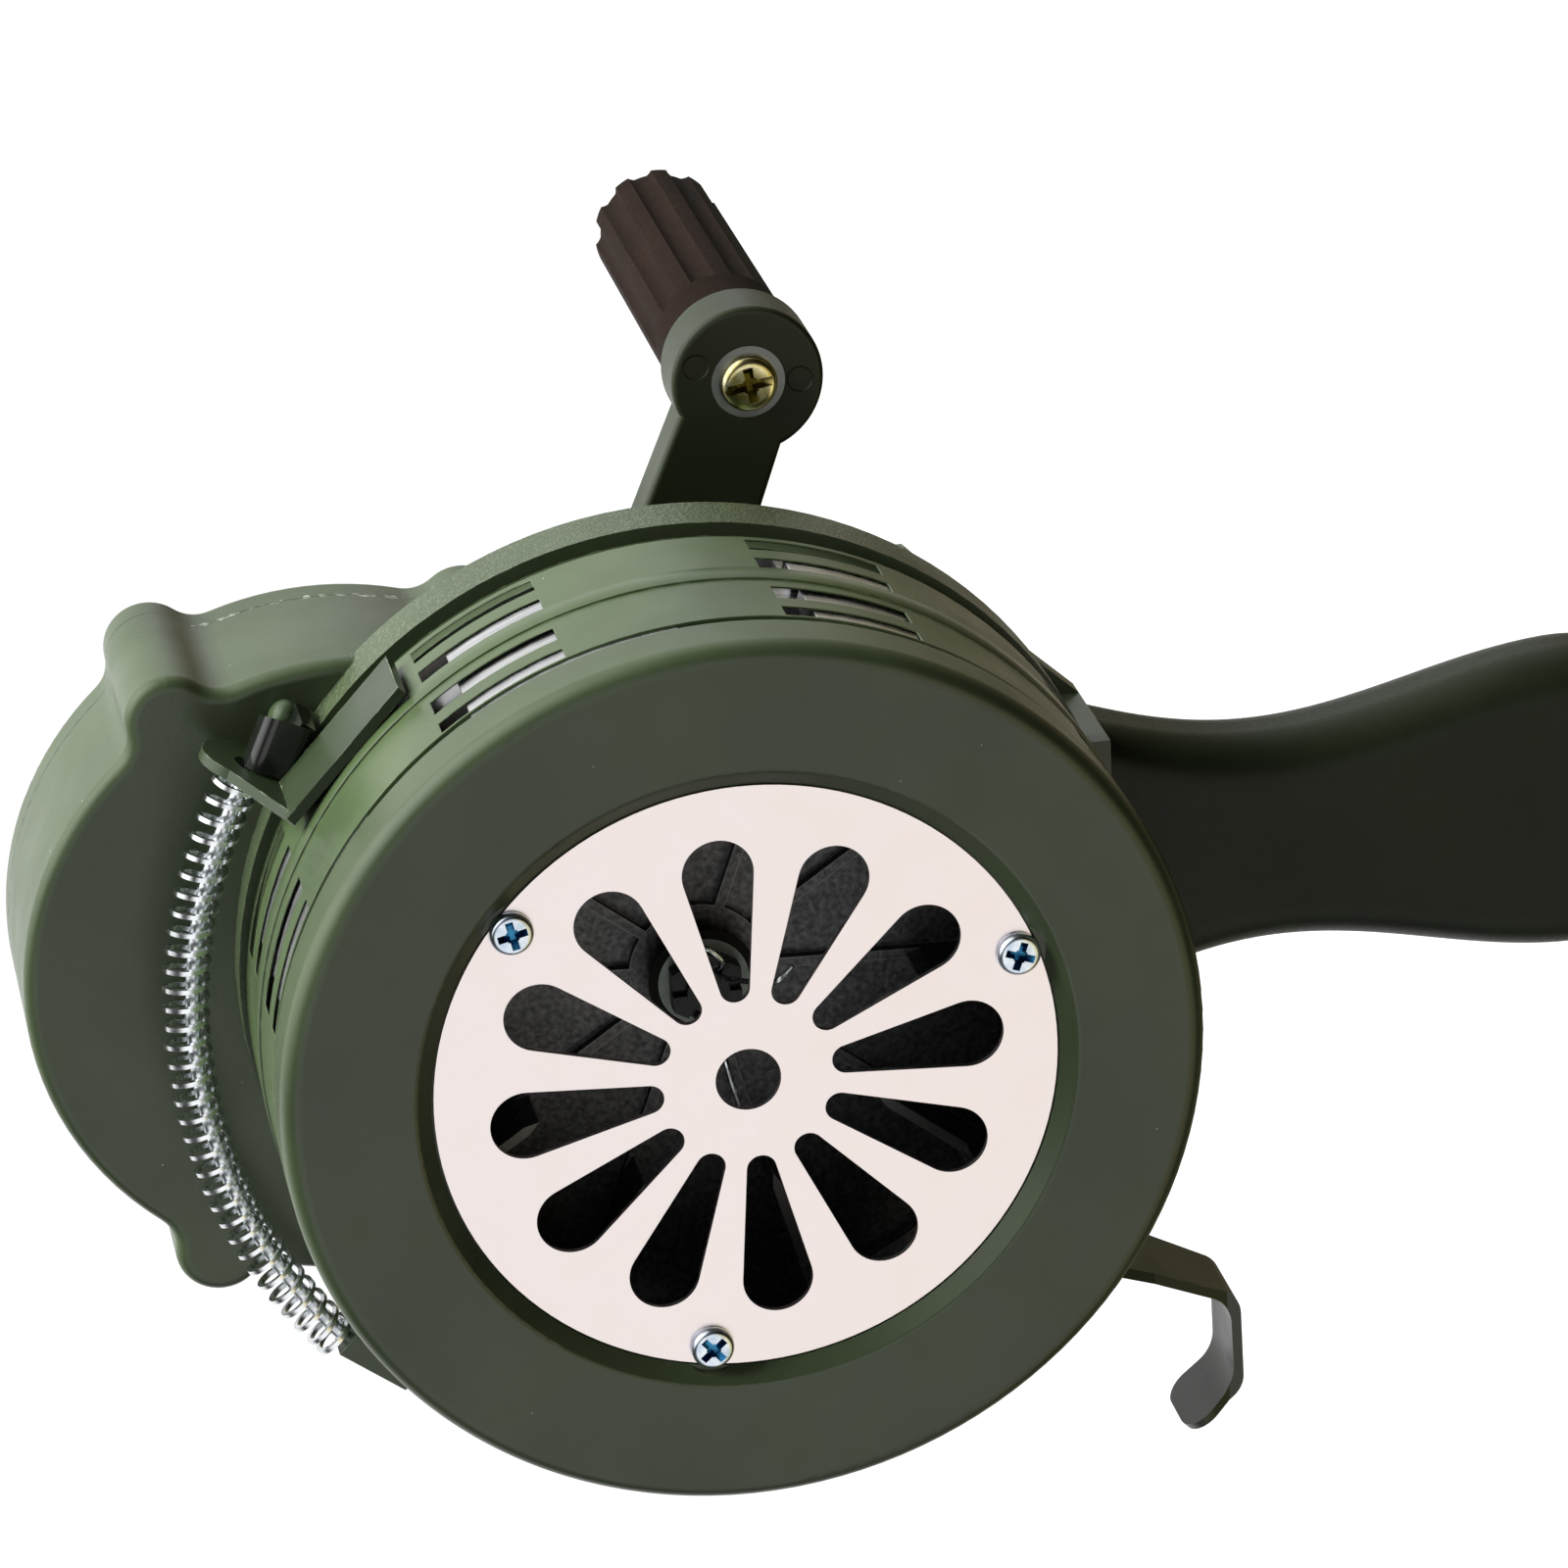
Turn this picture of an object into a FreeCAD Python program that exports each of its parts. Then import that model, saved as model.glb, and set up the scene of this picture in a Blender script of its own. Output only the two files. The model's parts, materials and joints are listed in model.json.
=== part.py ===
import FreeCAD, Part
import math
import os
import re

import Sketcher

# Hand-held crank siren: a finned rotor spins in a slotted drum, driven through a gearbox by a
# side crank. A sprung shutter ring with a trigger opens and closes the slots.
# Lengths in millimetres, angles in degrees. Every sub-part is drawn about the drum's axis, with
# x to the right, y from the front face to the back and z up, and is then seated in the frame
# whose origin is the middle of the pistol grip.

V = FreeCAD.Vector
QUARTER = 90  # degrees in a quarter turn

SIZES = {
    # frame
    "axis_height": 148.0,        # drum axis above the middle of the grip
    "seat_gap": 0.1,             # radial gap of pieces that are fastened together
    "fit_gap": 0.02,             # radial gap of pressed pieces
    "run_gap": 0.05,             # radial gap of a shaft that turns
    "face_gap": 0.3,             # gap between faces that slide past each other
    # front cover
    "cover_radius": 84.4,
    "cover_depth": 13.0,
    "cover_rim": 3.5,            # rounding of the outer edge
    "cover_edge": 0.8,           # rounding of the back edge
    "cover_wall": 6.2,           # thickness of the front wall
    "lip_radius": 60.5,
    "lip_round": 1.2,
    "ledge_inner": 50.0,
    "ledge_boss": 4.2,           # radius of the screw bosses behind the ledge
    "ledge_boss_length": 4.8,
    "head_pocket": 5.3,          # radius of the pockets that clear the screw heads
    # grille plate
    "plate_front": 2.5,
    "plate_thick": 1.2,
    "plate_radius": 57.0,
    "plate_gap": 0.4,
    "plate_hole": 6.0,
    "slot_count": 12.0,
    "slot_phase": 4.7,
    "slot_outer_centre": 40.8,
    "slot_outer_end": 6.5,
    "slot_inner_centre": 18.25,
    "slot_inner_end": 2.75,
    "grille_screw_count": 3.0,
    "grille_screw_circle": 53.5,
    "grille_screw_phase": 49.7,
    "grille_screw_head": 4.0,
    "grille_screw_rise": 1.9,
    "grille_screw_shank": 2.0,
    "grille_screw_length": 7.0,
    "screw_round": 1.2,          # rounding of a pan head
    # stator drum
    "stator_outer": 80.5,
    "stator_inner": 76.2,
    "stator_middle": 78.35,      # circle of the screws in the drum's wall
    "port_count": 8.0,
    "port_angle": 17.5,
    "port_phase": 40.2,
    "front_port_low": 16.0,
    "front_port_high": 30.5,
    "back_port_low": 40.0,
    "back_port_high": 55.5,
    # shutter ring
    "ring_gap": 0.3,
    "ring_radius": 84.0,
    "ring_step": 82.7,           # radius of the narrow front edge
    "ring_step_width": 2.2,
    "rib_radius": 84.4,
    "rib_low": 34.0,
    "rib_high": 39.5,
    "window_phase": 26.7,
    "slit_a_low": 16.0,
    "slit_a_high": 20.3,
    "slit_b_low": 24.7,
    "slit_b_high": 30.5,
    "slit_c_low": 40.0,
    "slit_c_high": 45.5,
    "slit_d_low": 50.0,
    "slit_d_high": 55.0,
    "foot_offset": 84.5,         # distance of the flat feet from the drum axis
    "foot_pad_root": 82.0,
    "foot_pad_low": 41.0,
    "foot_pad_high": 51.0,
    "foot_pad_half": 9.0,
    # rear housing
    "flange_radius": 84.5,
    "flange_front": 63.0,
    "flange_back": 74.0,
    "flange_well": 72.0,
    "socket_depth": 6.0,
    "socket_front": 57.0,
    "socket_wall": 1.2,
    "hub_radius": 15.0,
    "hub_front": 59.0,
    "hub_back": 76.0,
    "hub_lip": 9.0,
    "case_front": 70.0,
    "case_wall": 3.0,
    "case_split": 105.0,
    "lid_depth": 8.0,
    "lid_boss_inset": 5.0,
    "lid_boss_rise": 2.7,
    "idler_end_gap": 6.4,
    "skirt_inset": 5.0,
    "skirt_thick": 5.0,
    "case_edge": 2.5,
    "case_blend": 10.0,
    "ear_blend": 7.0,
    "upper_lobe": 62.5,
    "lower_lobe": 50.0,
    "ear_radius": 8.5,
    "ear_x": 54.5,
    "ear_top_z": 92.0,
    "ear_mid_z": 32.0,
    "ear_low_z": -31.0,
    "ear_hole_depth": 16.0,
    "case_screw_shank": 2.4,
    "case_screw_head": 4.2,
    "case_screw_rise": 2.4,
    "case_screw_sink": 2.7,
    "case_screw_grip": 10.0,     # length of the screw inside the rear housing
    "skirt_top_x": 61.0,
    "skirt_top_z": -36.0,
    "skirt_corner_z": -52.0,
    "skirt_knee_x": 40.0,
    "skirt_knee_z": -72.0,
    "gusset_half": 28.0,
    "gusset_wall": 4.0,
    "stator_screw_phase": 5.0,
    "stator_screw_spread": 30.0,
    "stator_screw_shank": 1.5,
    "stator_screw_head": 2.8,
    "stator_screw_rise": 1.6,
    "stator_screw_grip": 8.0,
    # rotor
    "rotor_gap": 0.6,
    "rotor_front": 12.0,
    "rotor_back": 57.0,
    "rotor_web": 3.0,
    "rotor_wall": 4.1,
    "rotor_port_back": 52.0,
    "rotor_hub_radius": 13.0,
    "rotor_hub_front": 40.0,
    "rotor_cup_radius": 10.9,
    "rotor_cup_floor": 47.0,
    "blade_count": 10.0,
    "blade_phase": 14.6,
    "blade_thick": 1.9,
    "blade_front": 40.0,
    "blade_step_radius": 60.0,
    "rotor_shaft_radius": 4.0,
    "rotor_shaft_front": 41.0,
    "rotor_shaft_back": 86.0,
    "bearing_outer": 11.0,
    "bearing_width": 7.0,
    "bearing_groove": 0.6,
    "hub_washer_radius": 10.3,
    "hub_washer_thick": 1.0,
    "rotor_nut_flats": 13.0,
    "rotor_nut_thick": 4.0,
    "pin_wire": 0.6,
    "pin_setback": 2.0,          # split pin behind the shaft's front end
    "pin_reach": 7.5,
    # gear train
    "tooth_module": 1.5,
    "tooth_backlash": 0.45,
    "pressure_angle": 20.0,
    "wheel_addendum": 0.9,
    "wheel_dedendum": 1.7,
    "pinion_addendum": 1.3,
    "pinion_dedendum": 1.3,
    "crank_axis_z": 10.5,
    "idler_axis_z": 61.5,
    "crank_teeth": 58.0,
    "idler_teeth": 72.0,
    "pinion_teeth": 10.0,
    "crank_gear_front": 88.0,
    "crank_gear_width": 9.0,
    "crank_gear_hub": 12.0,
    "idler_gear_front": 77.0,
    "idler_gear_width": 7.5,
    "idler_hub_radius": 7.0,
    "pinion_front": 76.5,
    "pinion_width": 9.0,
    "gear_web": 3.0,
    "gear_rim": 5.0,
    "idler_pin_radius": 4.0,
    "idler_pin_seat": 2.0,
    "idler_boss": 8.0,
    # crank
    "crank_shaft_radius": 6.0,
    "crank_bush_outer": 9.0,
    "crank_bush_width": 6.5,
    "crank_boss_radius": 15.0,
    "crank_angle": 337.7,
    "crank_radius": 98.7,
    "arm_gap": 0.5,
    "arm_thick": 8.5,
    "arm_boss_thick": 12.0,
    "arm_boss_radius": 14.8,
    "arm_hub_radius": 15.5,
    "arm_hub_half": 13.5,
    "arm_tip_half": 10.2,
    "arm_edge": 1.2,
    "crank_nut_flats": 13.0,
    "crank_nut_thick": 5.0,
    "crank_stud": 4.0,
    # crank grip
    "grip_radius": 13.0,
    "grip_neck": 12.2,
    "grip_length": 88.0,
    "grip_collar": 15.0,
    "grip_chamfer": 1.8,
    "flute_count": 10.0,
    "flute_radius": 3.4,
    "flute_depth": 1.3,
    "spindle_radius": 4.0,
    "spindle_head": 6.5,
    "spindle_head_thick": 2.5,
    "grip_cap_thick": 2.5,
    "grip_screw_head": 5.2,
    "grip_screw_rise": 2.6,
    "grip_screw_shank": 2.5,
    "grip_screw_length": 20.0,
    "washer_radius": 7.15,
    "washer_thick": 1.0,
    "washer_sink": 0.9,
    # guide rod, spring and its stops
    "rod_centre_x": -4.7,
    "rod_centre_z": -8.55,
    "rod_bend": 102.7,
    "rod_depth": 58.0,
    "rod_radius": 1.5,
    "rod_lead": 2.2, # angle of the rod past the bracket's plate
    "rod_hidden": 1.0, # angle of the rod inside the lower stop
    "stop_size": 9.0,
    "stop_gap": 0.4, # between the upper stop and the bracket's plate
    "upper_stop_low": 84.2,
    "upper_stop_high": 94.1,
    "upper_stop_long": 10.9,
    "upper_stop_slant": 2.8,
    "upper_stop_deep": 8.0,
    "upper_lug_rise": 2.5,
    "lower_stop_span": 8.4,
    "rod_end_gap": 0.15, # angle between the rod's end and its blind hole
    "stop_round": 2.5,
    "lower_stop_low": 129.1,
    "post_radius": 3.4,
    "lug_thick": 3.0,
    "upper_lug_reach": 6.5,
    "lower_lug_reach": 11.0,
    "post_drop": 6.3, # top of the post below the rod
    "post_inset": 3.5, # post behind the flange's front
    "post_sunk": 2.5,
    "stop_flat": 100.9, # flat outer face of the lower stop
    "stop_flat_phase": 141.5,
    "upper_post_phase": 52.7,
    "lower_post_phase": 147.0,
    "bolt_head": 3.2,
    "bolt_rise": 3.0,
    "bolt_shank": 1.6,
    "bolt_round": 2.6,
    "bolt_length": 10.0,
    "spring_radius": 3.95,       # radius of the coil's centre line
    "spring_wire": 0.45,
    "spring_turns": 34.5,
    "spring_shift": 1.2, # coil's centre outside the rod
    "spring_end_pitch": 1.4,
    "spring_start": 1.4, # angle from the plate's hole
    "spring_end": 0.45, # angle from the lower stop
    # spring bracket on the shutter ring
    "bracket_phase": 46.0,
    "bracket_thick": 2.0,
    "bracket_low": 37.6,
    "bracket_high": 53.4,
    "bracket_back": 12.7,
    "bracket_bend": 18.9,
    "bracket_tilt": 19.2,        # lean of the upright plate off the foot's normal
    "bracket_pad_radius": 8.8,
    "bracket_pad_rise": 0.6, # pad's centre above the hole
    "bracket_pad_behind": 1.5, # pad's centre behind the hole
    "bracket_hole": 3.4,
    # trigger lever on the shutter ring
    "lever_phase": 225.5,
    "lever_thick": 2.0,
    "lever_foot": 16.0,
    "lever_slope": 238.0,
    "lever_reach": 48.0,
    "lever_bend": 7.0,
    "hook_x": -104.0,
    "hook_z": -102.0,
    "hook_tip_x": -112.5,
    "hook_tip_z": -91.5,
    "lever_root_low": 31.0,
    "lever_root_high": 56.0,
    "lever_flare_high": 62.0,
    "lever_mid_z": -84.0,
    "lever_mid_low": 45.0,
    "lever_mid_high": 65.0,
    "lever_tip_low": 52.0,
    "lever_tip_high": 68.0,
    "lever_tip_round": 5.0,
    # pistol grip
    "handle_front": 72.5,
    "handle_depth": 23.0,
    "handle_top_z": -84.6,
    "tang_half": 12.0,
    "tang_inset": 6.5,
    "tang_length": 30.0,
    "handle_screw_shank": 2.0,
    "handle_screw_head": 3.8,
    "handle_screw_rise": 2.4,
    "handle_screw_sink": 3.0,
    "handle_screw_high": 15.0,   # screw below the top of the grip
    "handle_screw_low": 80.0,
}

# Sections of the pistol grip: drop below its top, half width, depth and corner radius.
DERIVED = {
    "grip_depth": "handle_front + handle_depth / 2",
    "case_back": "case_split + lid_depth",
    "crank_boss_front": "case_split - lid_boss_inset",
    "crank_boss_back": "case_back + lid_boss_rise",
    "arm_front": "crank_boss_back + arm_gap",
    "idler_back": "case_split - idler_end_gap",
    "skirt_back": "case_split - skirt_inset",
    "skirt_front": "skirt_back - skirt_thick",
    "stop_front": "rod_depth - stop_size / 2",
    "lower_stop_high": "lower_stop_low + lower_stop_span",
    "rod_finish": "lower_stop_low + rod_hidden",
    "plate_lean": "bracket_phase + bracket_tilt",
    # fold of the bracket, from the centre of the rod's arc
    "fold_x": "(foot_offset + bracket_thick) * cos(bracket_phase) - bracket_bend * sin(bracket_phase)",
    "fold_z": "(foot_offset + bracket_thick) * sin(bracket_phase) + bracket_bend * cos(bracket_phase)",
    "fold_side": "fold_x - rod_centre_x",
    "fold_up": "fold_z - rod_centre_z",
    "fold_along": "fold_side * cos(plate_lean) + fold_up * sin(plate_lean)",
    # height on the plate at which the rod's arc crosses it
    "bracket_hole_height": "sqrt(fold_along ^ 2 - fold_side ^ 2 - fold_up ^ 2 + rod_bend ^ 2) - fold_along",
    "bracket_pad_height": "bracket_hole_height + bracket_pad_rise",
    "bracket_pad_depth": "rod_depth + bracket_pad_behind",
    # the upper stop stands beside the plate, on the plate's own axes through the drum's centre
    "plate_aside": "fold_x * sin(plate_lean) - fold_z * cos(plate_lean)",
    "upper_stop_near": "plate_aside + bracket_thick / 2 + stop_gap",
    "upper_stop_far": "upper_stop_near + upper_stop_long",
    "hole_side": "fold_side + bracket_hole_height * cos(plate_lean)",
    "hole_up": "fold_up + bracket_hole_height * sin(plate_lean)",
    "hole_angle": "atan2(hole_up; hole_side) / 1 deg",
    "rod_start": "hole_angle - rod_lead",
    "spring_low": "hole_angle + spring_start",
    "spring_high": "lower_stop_low - spring_end",
    "lower_middle": "(lower_stop_low + lower_stop_high) / 2",
    "lower_rod_x": "rod_centre_x + rod_bend * cos(lower_middle)",
    "lower_rod_z": "rod_centre_z + rod_bend * sin(lower_middle)",
    "upper_post_top": "upper_stop_low + upper_lug_rise",
    "lower_post_top": "sqrt(lower_rod_x ^ 2 + lower_rod_z ^ 2) - post_drop",
    "post_depth": "flange_front + post_inset",
    "post_root": "flange_radius - post_sunk",
}

HANDLE_STATIONS = {
    "shoulder": {"drop": 0.0, "half": 28.0, "depth": 23.0, "corner": 8.0},
    "neck": {"drop": 13.4, "half": 23.8, "depth": 23.0, "corner": 8.5},
    "waist": {"drop": 37.4, "half": 21.4, "depth": 23.0, "corner": 9.0},
    "upper_swell": {"drop": 61.4, "half": 25.4, "depth": 23.0, "corner": 9.0},
    "swell": {"drop": 89.4, "half": 30.9, "depth": 23.0, "corner": 9.5},
    "heel": {"drop": 103.4, "half": 29.4, "depth": 22.4, "corner": 9.5},
    "heel_round": {"drop": 114.4, "half": 22.5, "depth": 19.5, "corner": 9.0},
    "toe": {"drop": 122.4, "half": 13.0, "depth": 14.0, "corner": 6.5},
    "tip": {"drop": 126.4, "half": 5.0, "depth": 6.0, "corner": 2.8},
}
for station, values in HANDLE_STATIONS.items():
    for key, value in values.items():
        SIZES["handle_%s_%s" % (station, key)] = value

doc = FreeCAD.newDocument("hand_crank_siren")
sheet = doc.addObject("Spreadsheet::Sheet", "dim")
for row, (alias, value) in enumerate(SIZES.items(), start=1):
    sheet.set("A%d" % row, alias)
    sheet.set("B%d" % row, str(value))
    sheet.setAlias("B%d" % row, alias)
for row, (alias, rule) in enumerate(DERIVED.items(), start=len(SIZES) + 1):
    sheet.set("A%d" % row, alias)
    sheet.set("B%d" % row, "=" + rule)
    sheet.setAlias("B%d" % row, alias)
doc.recompute()

ALIASES = re.compile(r"\b[a-z][a-z_]*\b")


def size(alias):
    """The value of a cell."""
    return float(sheet.get(alias))


def formula(text):
    """An expression in which every alias reads its cell."""
    def cell(word):
        known = word.group(0) in SIZES or word.group(0) in DERIVED
        return "dim." + word.group(0) if known else word.group(0)

    return ALIASES.sub(cell, text)


def bind(obj, prop, text):
    obj.setExpression(prop, formula(text))


# ---------------------------------------------------------------- placing

def place(obj, x="0", y="0", z="0", turn=None):
    """Put an object at x, y, z, turned from x towards z about the drum's axis."""
    if turn is not None:
        obj.Placement = FreeCAD.Placement(V(), FreeCAD.Rotation(V(0, -1, 0), 1))
        bind(obj, "Placement.Rotation.Angle", turn)
    bind(obj, "Placement.Base.x", x)
    bind(obj, "Placement.Base.y", y)
    bind(obj, "Placement.Base.z", z)
    return obj


def seat(obj, label, x="0", z="0", turn=None):
    """Name a finished sub-part and set it in the frame of the whole siren."""
    obj.Label = label
    place(obj, x, "-grip_depth", "axis_height + " + z, turn)
    finished[label] = obj
    return obj


finished = {}


# ---------------------------------------------------------------- Part primitives

def rod_y(name, radius, low, length, x="0", z="0"):
    """A cylinder along y that starts at depth low."""
    cylinder = doc.addObject("Part::Cylinder", name)
    bind(cylinder, "Radius", radius)
    bind(cylinder, "Height", length)
    cylinder.Placement = FreeCAD.Placement(V(), FreeCAD.Rotation(V(1, 0, 0), -90))
    return place(cylinder, x, low, z)


def rod_out(name, radius, low, length, phase, depth):
    """A cylinder that points straight out from the drum's axis at an angle, phase."""
    cylinder = doc.addObject("Part::Cylinder", name)
    bind(cylinder, "Radius", radius)
    bind(cylinder, "Height", length)
    x = "(%s) * cos(%s)" % (low, phase)
    z = "(%s) * sin(%s)" % (low, phase)
    return place(cylinder, x, depth, z, "%s + 270" % phase)


def rod_x(name, radius, low, length, y, z):
    """A cylinder along x."""
    cylinder = doc.addObject("Part::Cylinder", name)
    bind(cylinder, "Radius", radius)
    bind(cylinder, "Height", length)
    cylinder.Placement = FreeCAD.Placement(V(), FreeCAD.Rotation(V(0, 1, 0), 90))
    return place(cylinder, low, y, z)


def block(name, x, y, z, turn=None):
    """A box between pairs of limits along x, y and z, turned about the drum's axis."""
    box = doc.addObject("Part::Box", name)
    bind(box, "Length", "(%s) - (%s)" % (x[1], x[0]))
    bind(box, "Width", "(%s) - (%s)" % (y[1], y[0]))
    bind(box, "Height", "(%s) - (%s)" % (z[1], z[0]))
    if turn is None:
        return place(box, x[0], y[0], z[0])
    along = "(%s) * cos(%s) - (%s) * sin(%s)" % (x[0], turn, z[0], turn)
    up = "(%s) * sin(%s) + (%s) * cos(%s)" % (x[0], turn, z[0], turn)
    return place(box, along, y[0], up, turn)


def arc_rod(name, radius, low, high):
    """A round bar bent along the guide rod's arc between two angles."""
    torus = doc.addObject("Part::Torus", name)
    bind(torus, "Radius1", "rod_bend")
    bind(torus, "Radius2", radius)
    bind(torus, "Angle3", "(%s) - (%s)" % (high, low))
    # the ring lies flat in x-z, and its start is turned to the angle low
    torus.Placement = FreeCAD.Placement(V(), FreeCAD.Rotation(V(1, 0, 0), 90))
    place(torus, "0", "0", "0")
    holder = doc.addObject("Part::Compound", name + "_turned")
    holder.Links = [torus]
    return place(holder, "rod_centre_x", "rod_depth", "rod_centre_z", low)


def fuse(name, *shapes):
    joined = doc.addObject("Part::MultiFuse", name)
    joined.Shapes = list(shapes)
    joined.Refine = True
    return joined


def cut(name, base, *tools):
    tool = tools[0]
    if len(tools) > 1:
        tool = doc.addObject("Part::Compound", name + "_tools")
        tool.Links = list(tools)
    result = doc.addObject("Part::Cut", name)
    result.Base = base
    result.Tool = tool
    result.Refine = True
    doc.recompute()
    if result.Shape.Volume >= base.Shape.Volume:
        raise RuntimeError(name + " cuts nothing")
    return result


def common(name, first, second):
    result = doc.addObject("Part::Common", name)
    result.Base = first
    result.Tool = second
    result.Refine = True
    return result


def group(name, members):
    """Separate solids kept in one sub-part."""
    compound = doc.addObject("Part::Compound", name)
    compound.Links = list(members)
    return compound


def rounded(name, base, radius, pick):
    """A fillet on the edges of a Part object; pick gives their numbers."""
    doc.recompute()
    result = doc.addObject("Part::Fillet", name)
    result.Base = base
    result.Edges = [(i, size(radius), size(radius)) for i in pick(base.Shape)]
    return result


def flat_edges(shape, depth):
    """Numbers of the edges that lie flat at this depth."""
    wanted = edge_at_depth(depth)
    return [i for i, edge in enumerate(shape.Edges, start=1) if wanted(edge)]


def front_rim(shape):
    return flat_edges(shape, shape.BoundBox.YMin)


def back_rim(shape):
    return flat_edges(shape, shape.BoundBox.YMax)


def drawn(name, shape):
    """A shape made with Part's own functions, kept as an object of the document."""
    feature = doc.addObject("Part::Feature", name)
    feature.Shape = shape
    return feature


def extruded(name, face, length, low):
    """A face in the x-z plane pushed along y, starting at depth low."""
    solid = doc.addObject("Part::Extrusion", name)
    solid.Base = face
    solid.DirMode = "Custom"
    solid.Dir = V(0, 1, 0)
    solid.Solid = True
    bind(solid, "LengthFwd", length)
    return place(solid, "0", low, "0")


# ---------------------------------------------------------------- PartDesign

def new_body(name):
    return doc.addObject("PartDesign::Body", name)


def origin_feature(body, role):
    return next(f for f in body.Origin.OriginFeatures if f.Role == role)


def sketch_on(body, name, role, offset="0"):
    """A sketch on one of the body's origin planes, moved along the plane's normal."""
    sketch = body.newObject("Sketcher::SketchObject", name)
    sketch.AttachmentSupport = [(origin_feature(body, role), "")]
    sketch.MapMode = "FlatFace"
    bind(sketch, "AttachmentOffset.Base.z", offset)
    return sketch


def fix_point(sketch, geometry, position, x, y):
    start = sketch.getPoint(geometry, position)
    for kind, value, text in (("DistanceX", start.x, x), ("DistanceY", start.y, y)):
        index = sketch.addConstraint(Sketcher.Constraint(kind, -1, 1, geometry, position, value))
        bind(sketch, "Constraints[%d]" % index, text)


def polygon(sketch, corners):
    """A closed outline whose corners are pairs of expressions."""
    first = sketch.GeometryCount
    count = len(corners)
    ring = [2 * math.pi * i / count for i in range(count)]
    start = [V(math.cos(a), math.sin(a), 0) for a in ring]
    for i in range(count):
        sketch.addGeometry(Part.LineSegment(start[i], start[(i + 1) % count]))
    for i in range(count):
        after = first + (i + 1) % count
        sketch.addConstraint(Sketcher.Constraint("Coincident", first + i, 2, after, 1))
    for i, (x, y) in enumerate(corners):
        fix_point(sketch, first + i, 1, x, y)


def rectangle(sketch, x, y):
    polygon(sketch, [(x[0], y[0]), (x[1], y[0]), (x[1], y[1]), (x[0], y[1])])


def circle(sketch, radius, x="0", y="0"):
    index = sketch.addGeometry(Part.Circle(V(), V(0, 0, 1), 1))
    constraint = sketch.addConstraint(Sketcher.Constraint("Radius", index, 1))
    bind(sketch, "Constraints[%d]" % constraint, radius)
    fix_point(sketch, index, 3, x, y)


def teardrop(sketch, near, near_end, far, far_end):
    """Two round ends on the sketch's x axis joined by their common tangents."""
    near_x, near_r, far_x, far_r = size(near), size(near_end), size(far), size(far_end)
    lean = math.acos((near_r - far_r) / (far_x - near_x))
    arcs = []
    for x, r, low, high in ((far_x, far_r, -lean, lean), (near_x, near_r, lean, 2 * math.pi - lean)):
        arcs.append(sketch.addGeometry(Part.ArcOfCircle(Part.Circle(V(x, 0, 0), V(0, 0, 1), r), low, high)))
    lines = []
    for a, b, c, d in ((arcs[0], 2, arcs[1], 1), (arcs[1], 2, arcs[0], 1)):
        lines.append(sketch.addGeometry(Part.LineSegment(sketch.getPoint(a, b), sketch.getPoint(c, d))))
    joins = ((arcs[0], 2, lines[0], 1), (lines[0], 2, arcs[1], 1),
             (arcs[1], 2, lines[1], 1), (lines[1], 2, arcs[0], 1))
    for join in joins:
        sketch.addConstraint(Sketcher.Constraint("Tangent", *join))
    for arc, radius, x in ((arcs[0], far_end, far), (arcs[1], near_end, near)):
        constraint = sketch.addConstraint(Sketcher.Constraint("Radius", arc, size(radius)))
        bind(sketch, "Constraints[%d]" % constraint, radius)
        fix_point(sketch, arc, 3, x, "0")


def revolve(body, name, corners):
    """A ring about y; each corner is a radius and a depth."""
    sketch = sketch_on(body, name + "_profile", "XY_Plane")
    polygon(sketch, corners)
    ring = body.newObject("PartDesign::Revolution", name)
    ring.Profile = sketch
    ring.ReferenceAxis = (sketch, ["V_Axis"])
    ring.Angle = 360
    doc.recompute()
    return ring


def pad(body, name, draw, low, length):
    """An outline drawn in x and z, padded along y from depth low."""
    sketch = sketch_on(body, name + "_outline", "XZ_Plane", "-(%s)" % low)
    draw(sketch)
    feature = body.newObject("PartDesign::Pad", name)
    feature.Profile = sketch
    feature.Reversed = True
    bind(feature, "Length", length)
    doc.recompute()
    return feature


def checked(body, name, feature, before):
    doc.recompute()
    if body.Shape.Volume >= before:
        raise RuntimeError(name + " cuts nothing")
    return feature


def pocket(body, name, draw, low, length):
    """An outline drawn in x and z, cut along y from depth low."""
    before = body.Shape.Volume
    sketch = sketch_on(body, name + "_outline", "XZ_Plane", "-(%s)" % low)
    draw(sketch)
    feature = body.newObject("PartDesign::Pocket", name)
    feature.Profile = sketch
    bind(feature, "Length", length)
    return checked(body, name, feature, before)


def side_pocket(body, name, draw, length):
    """An outline drawn in y and z, cut outwards along x from the axis."""
    before = body.Shape.Volume
    sketch = sketch_on(body, name + "_outline", "YZ_Plane")
    draw(sketch)
    feature = body.newObject("PartDesign::Pocket", name)
    feature.Profile = sketch
    feature.Reversed = True
    bind(feature, "Length", length)
    return checked(body, name, feature, before)


def polar(body, name, feature, count):
    """Repeat a feature evenly about y."""
    pattern = body.newObject("PartDesign::PolarPattern", name)
    pattern.Originals = [feature]
    pattern.Axis = (origin_feature(body, "Y_Axis"), [""])
    pattern.Angle = 360
    bind(pattern, "Occurrences", count)
    body.Tip = pattern
    doc.recompute()
    return pattern


def fillet(body, name, radius, wanted):
    """Round the edges of the body that the test picks."""
    doc.recompute()
    base = body.Tip
    picked = ["Edge%d" % i for i, edge in enumerate(base.Shape.Edges, start=1) if wanted(edge)]
    feature = body.newObject("PartDesign::Fillet", name)
    feature.Base = (base, picked)
    bind(feature, "Radius", radius)
    doc.recompute()
    return feature


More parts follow.
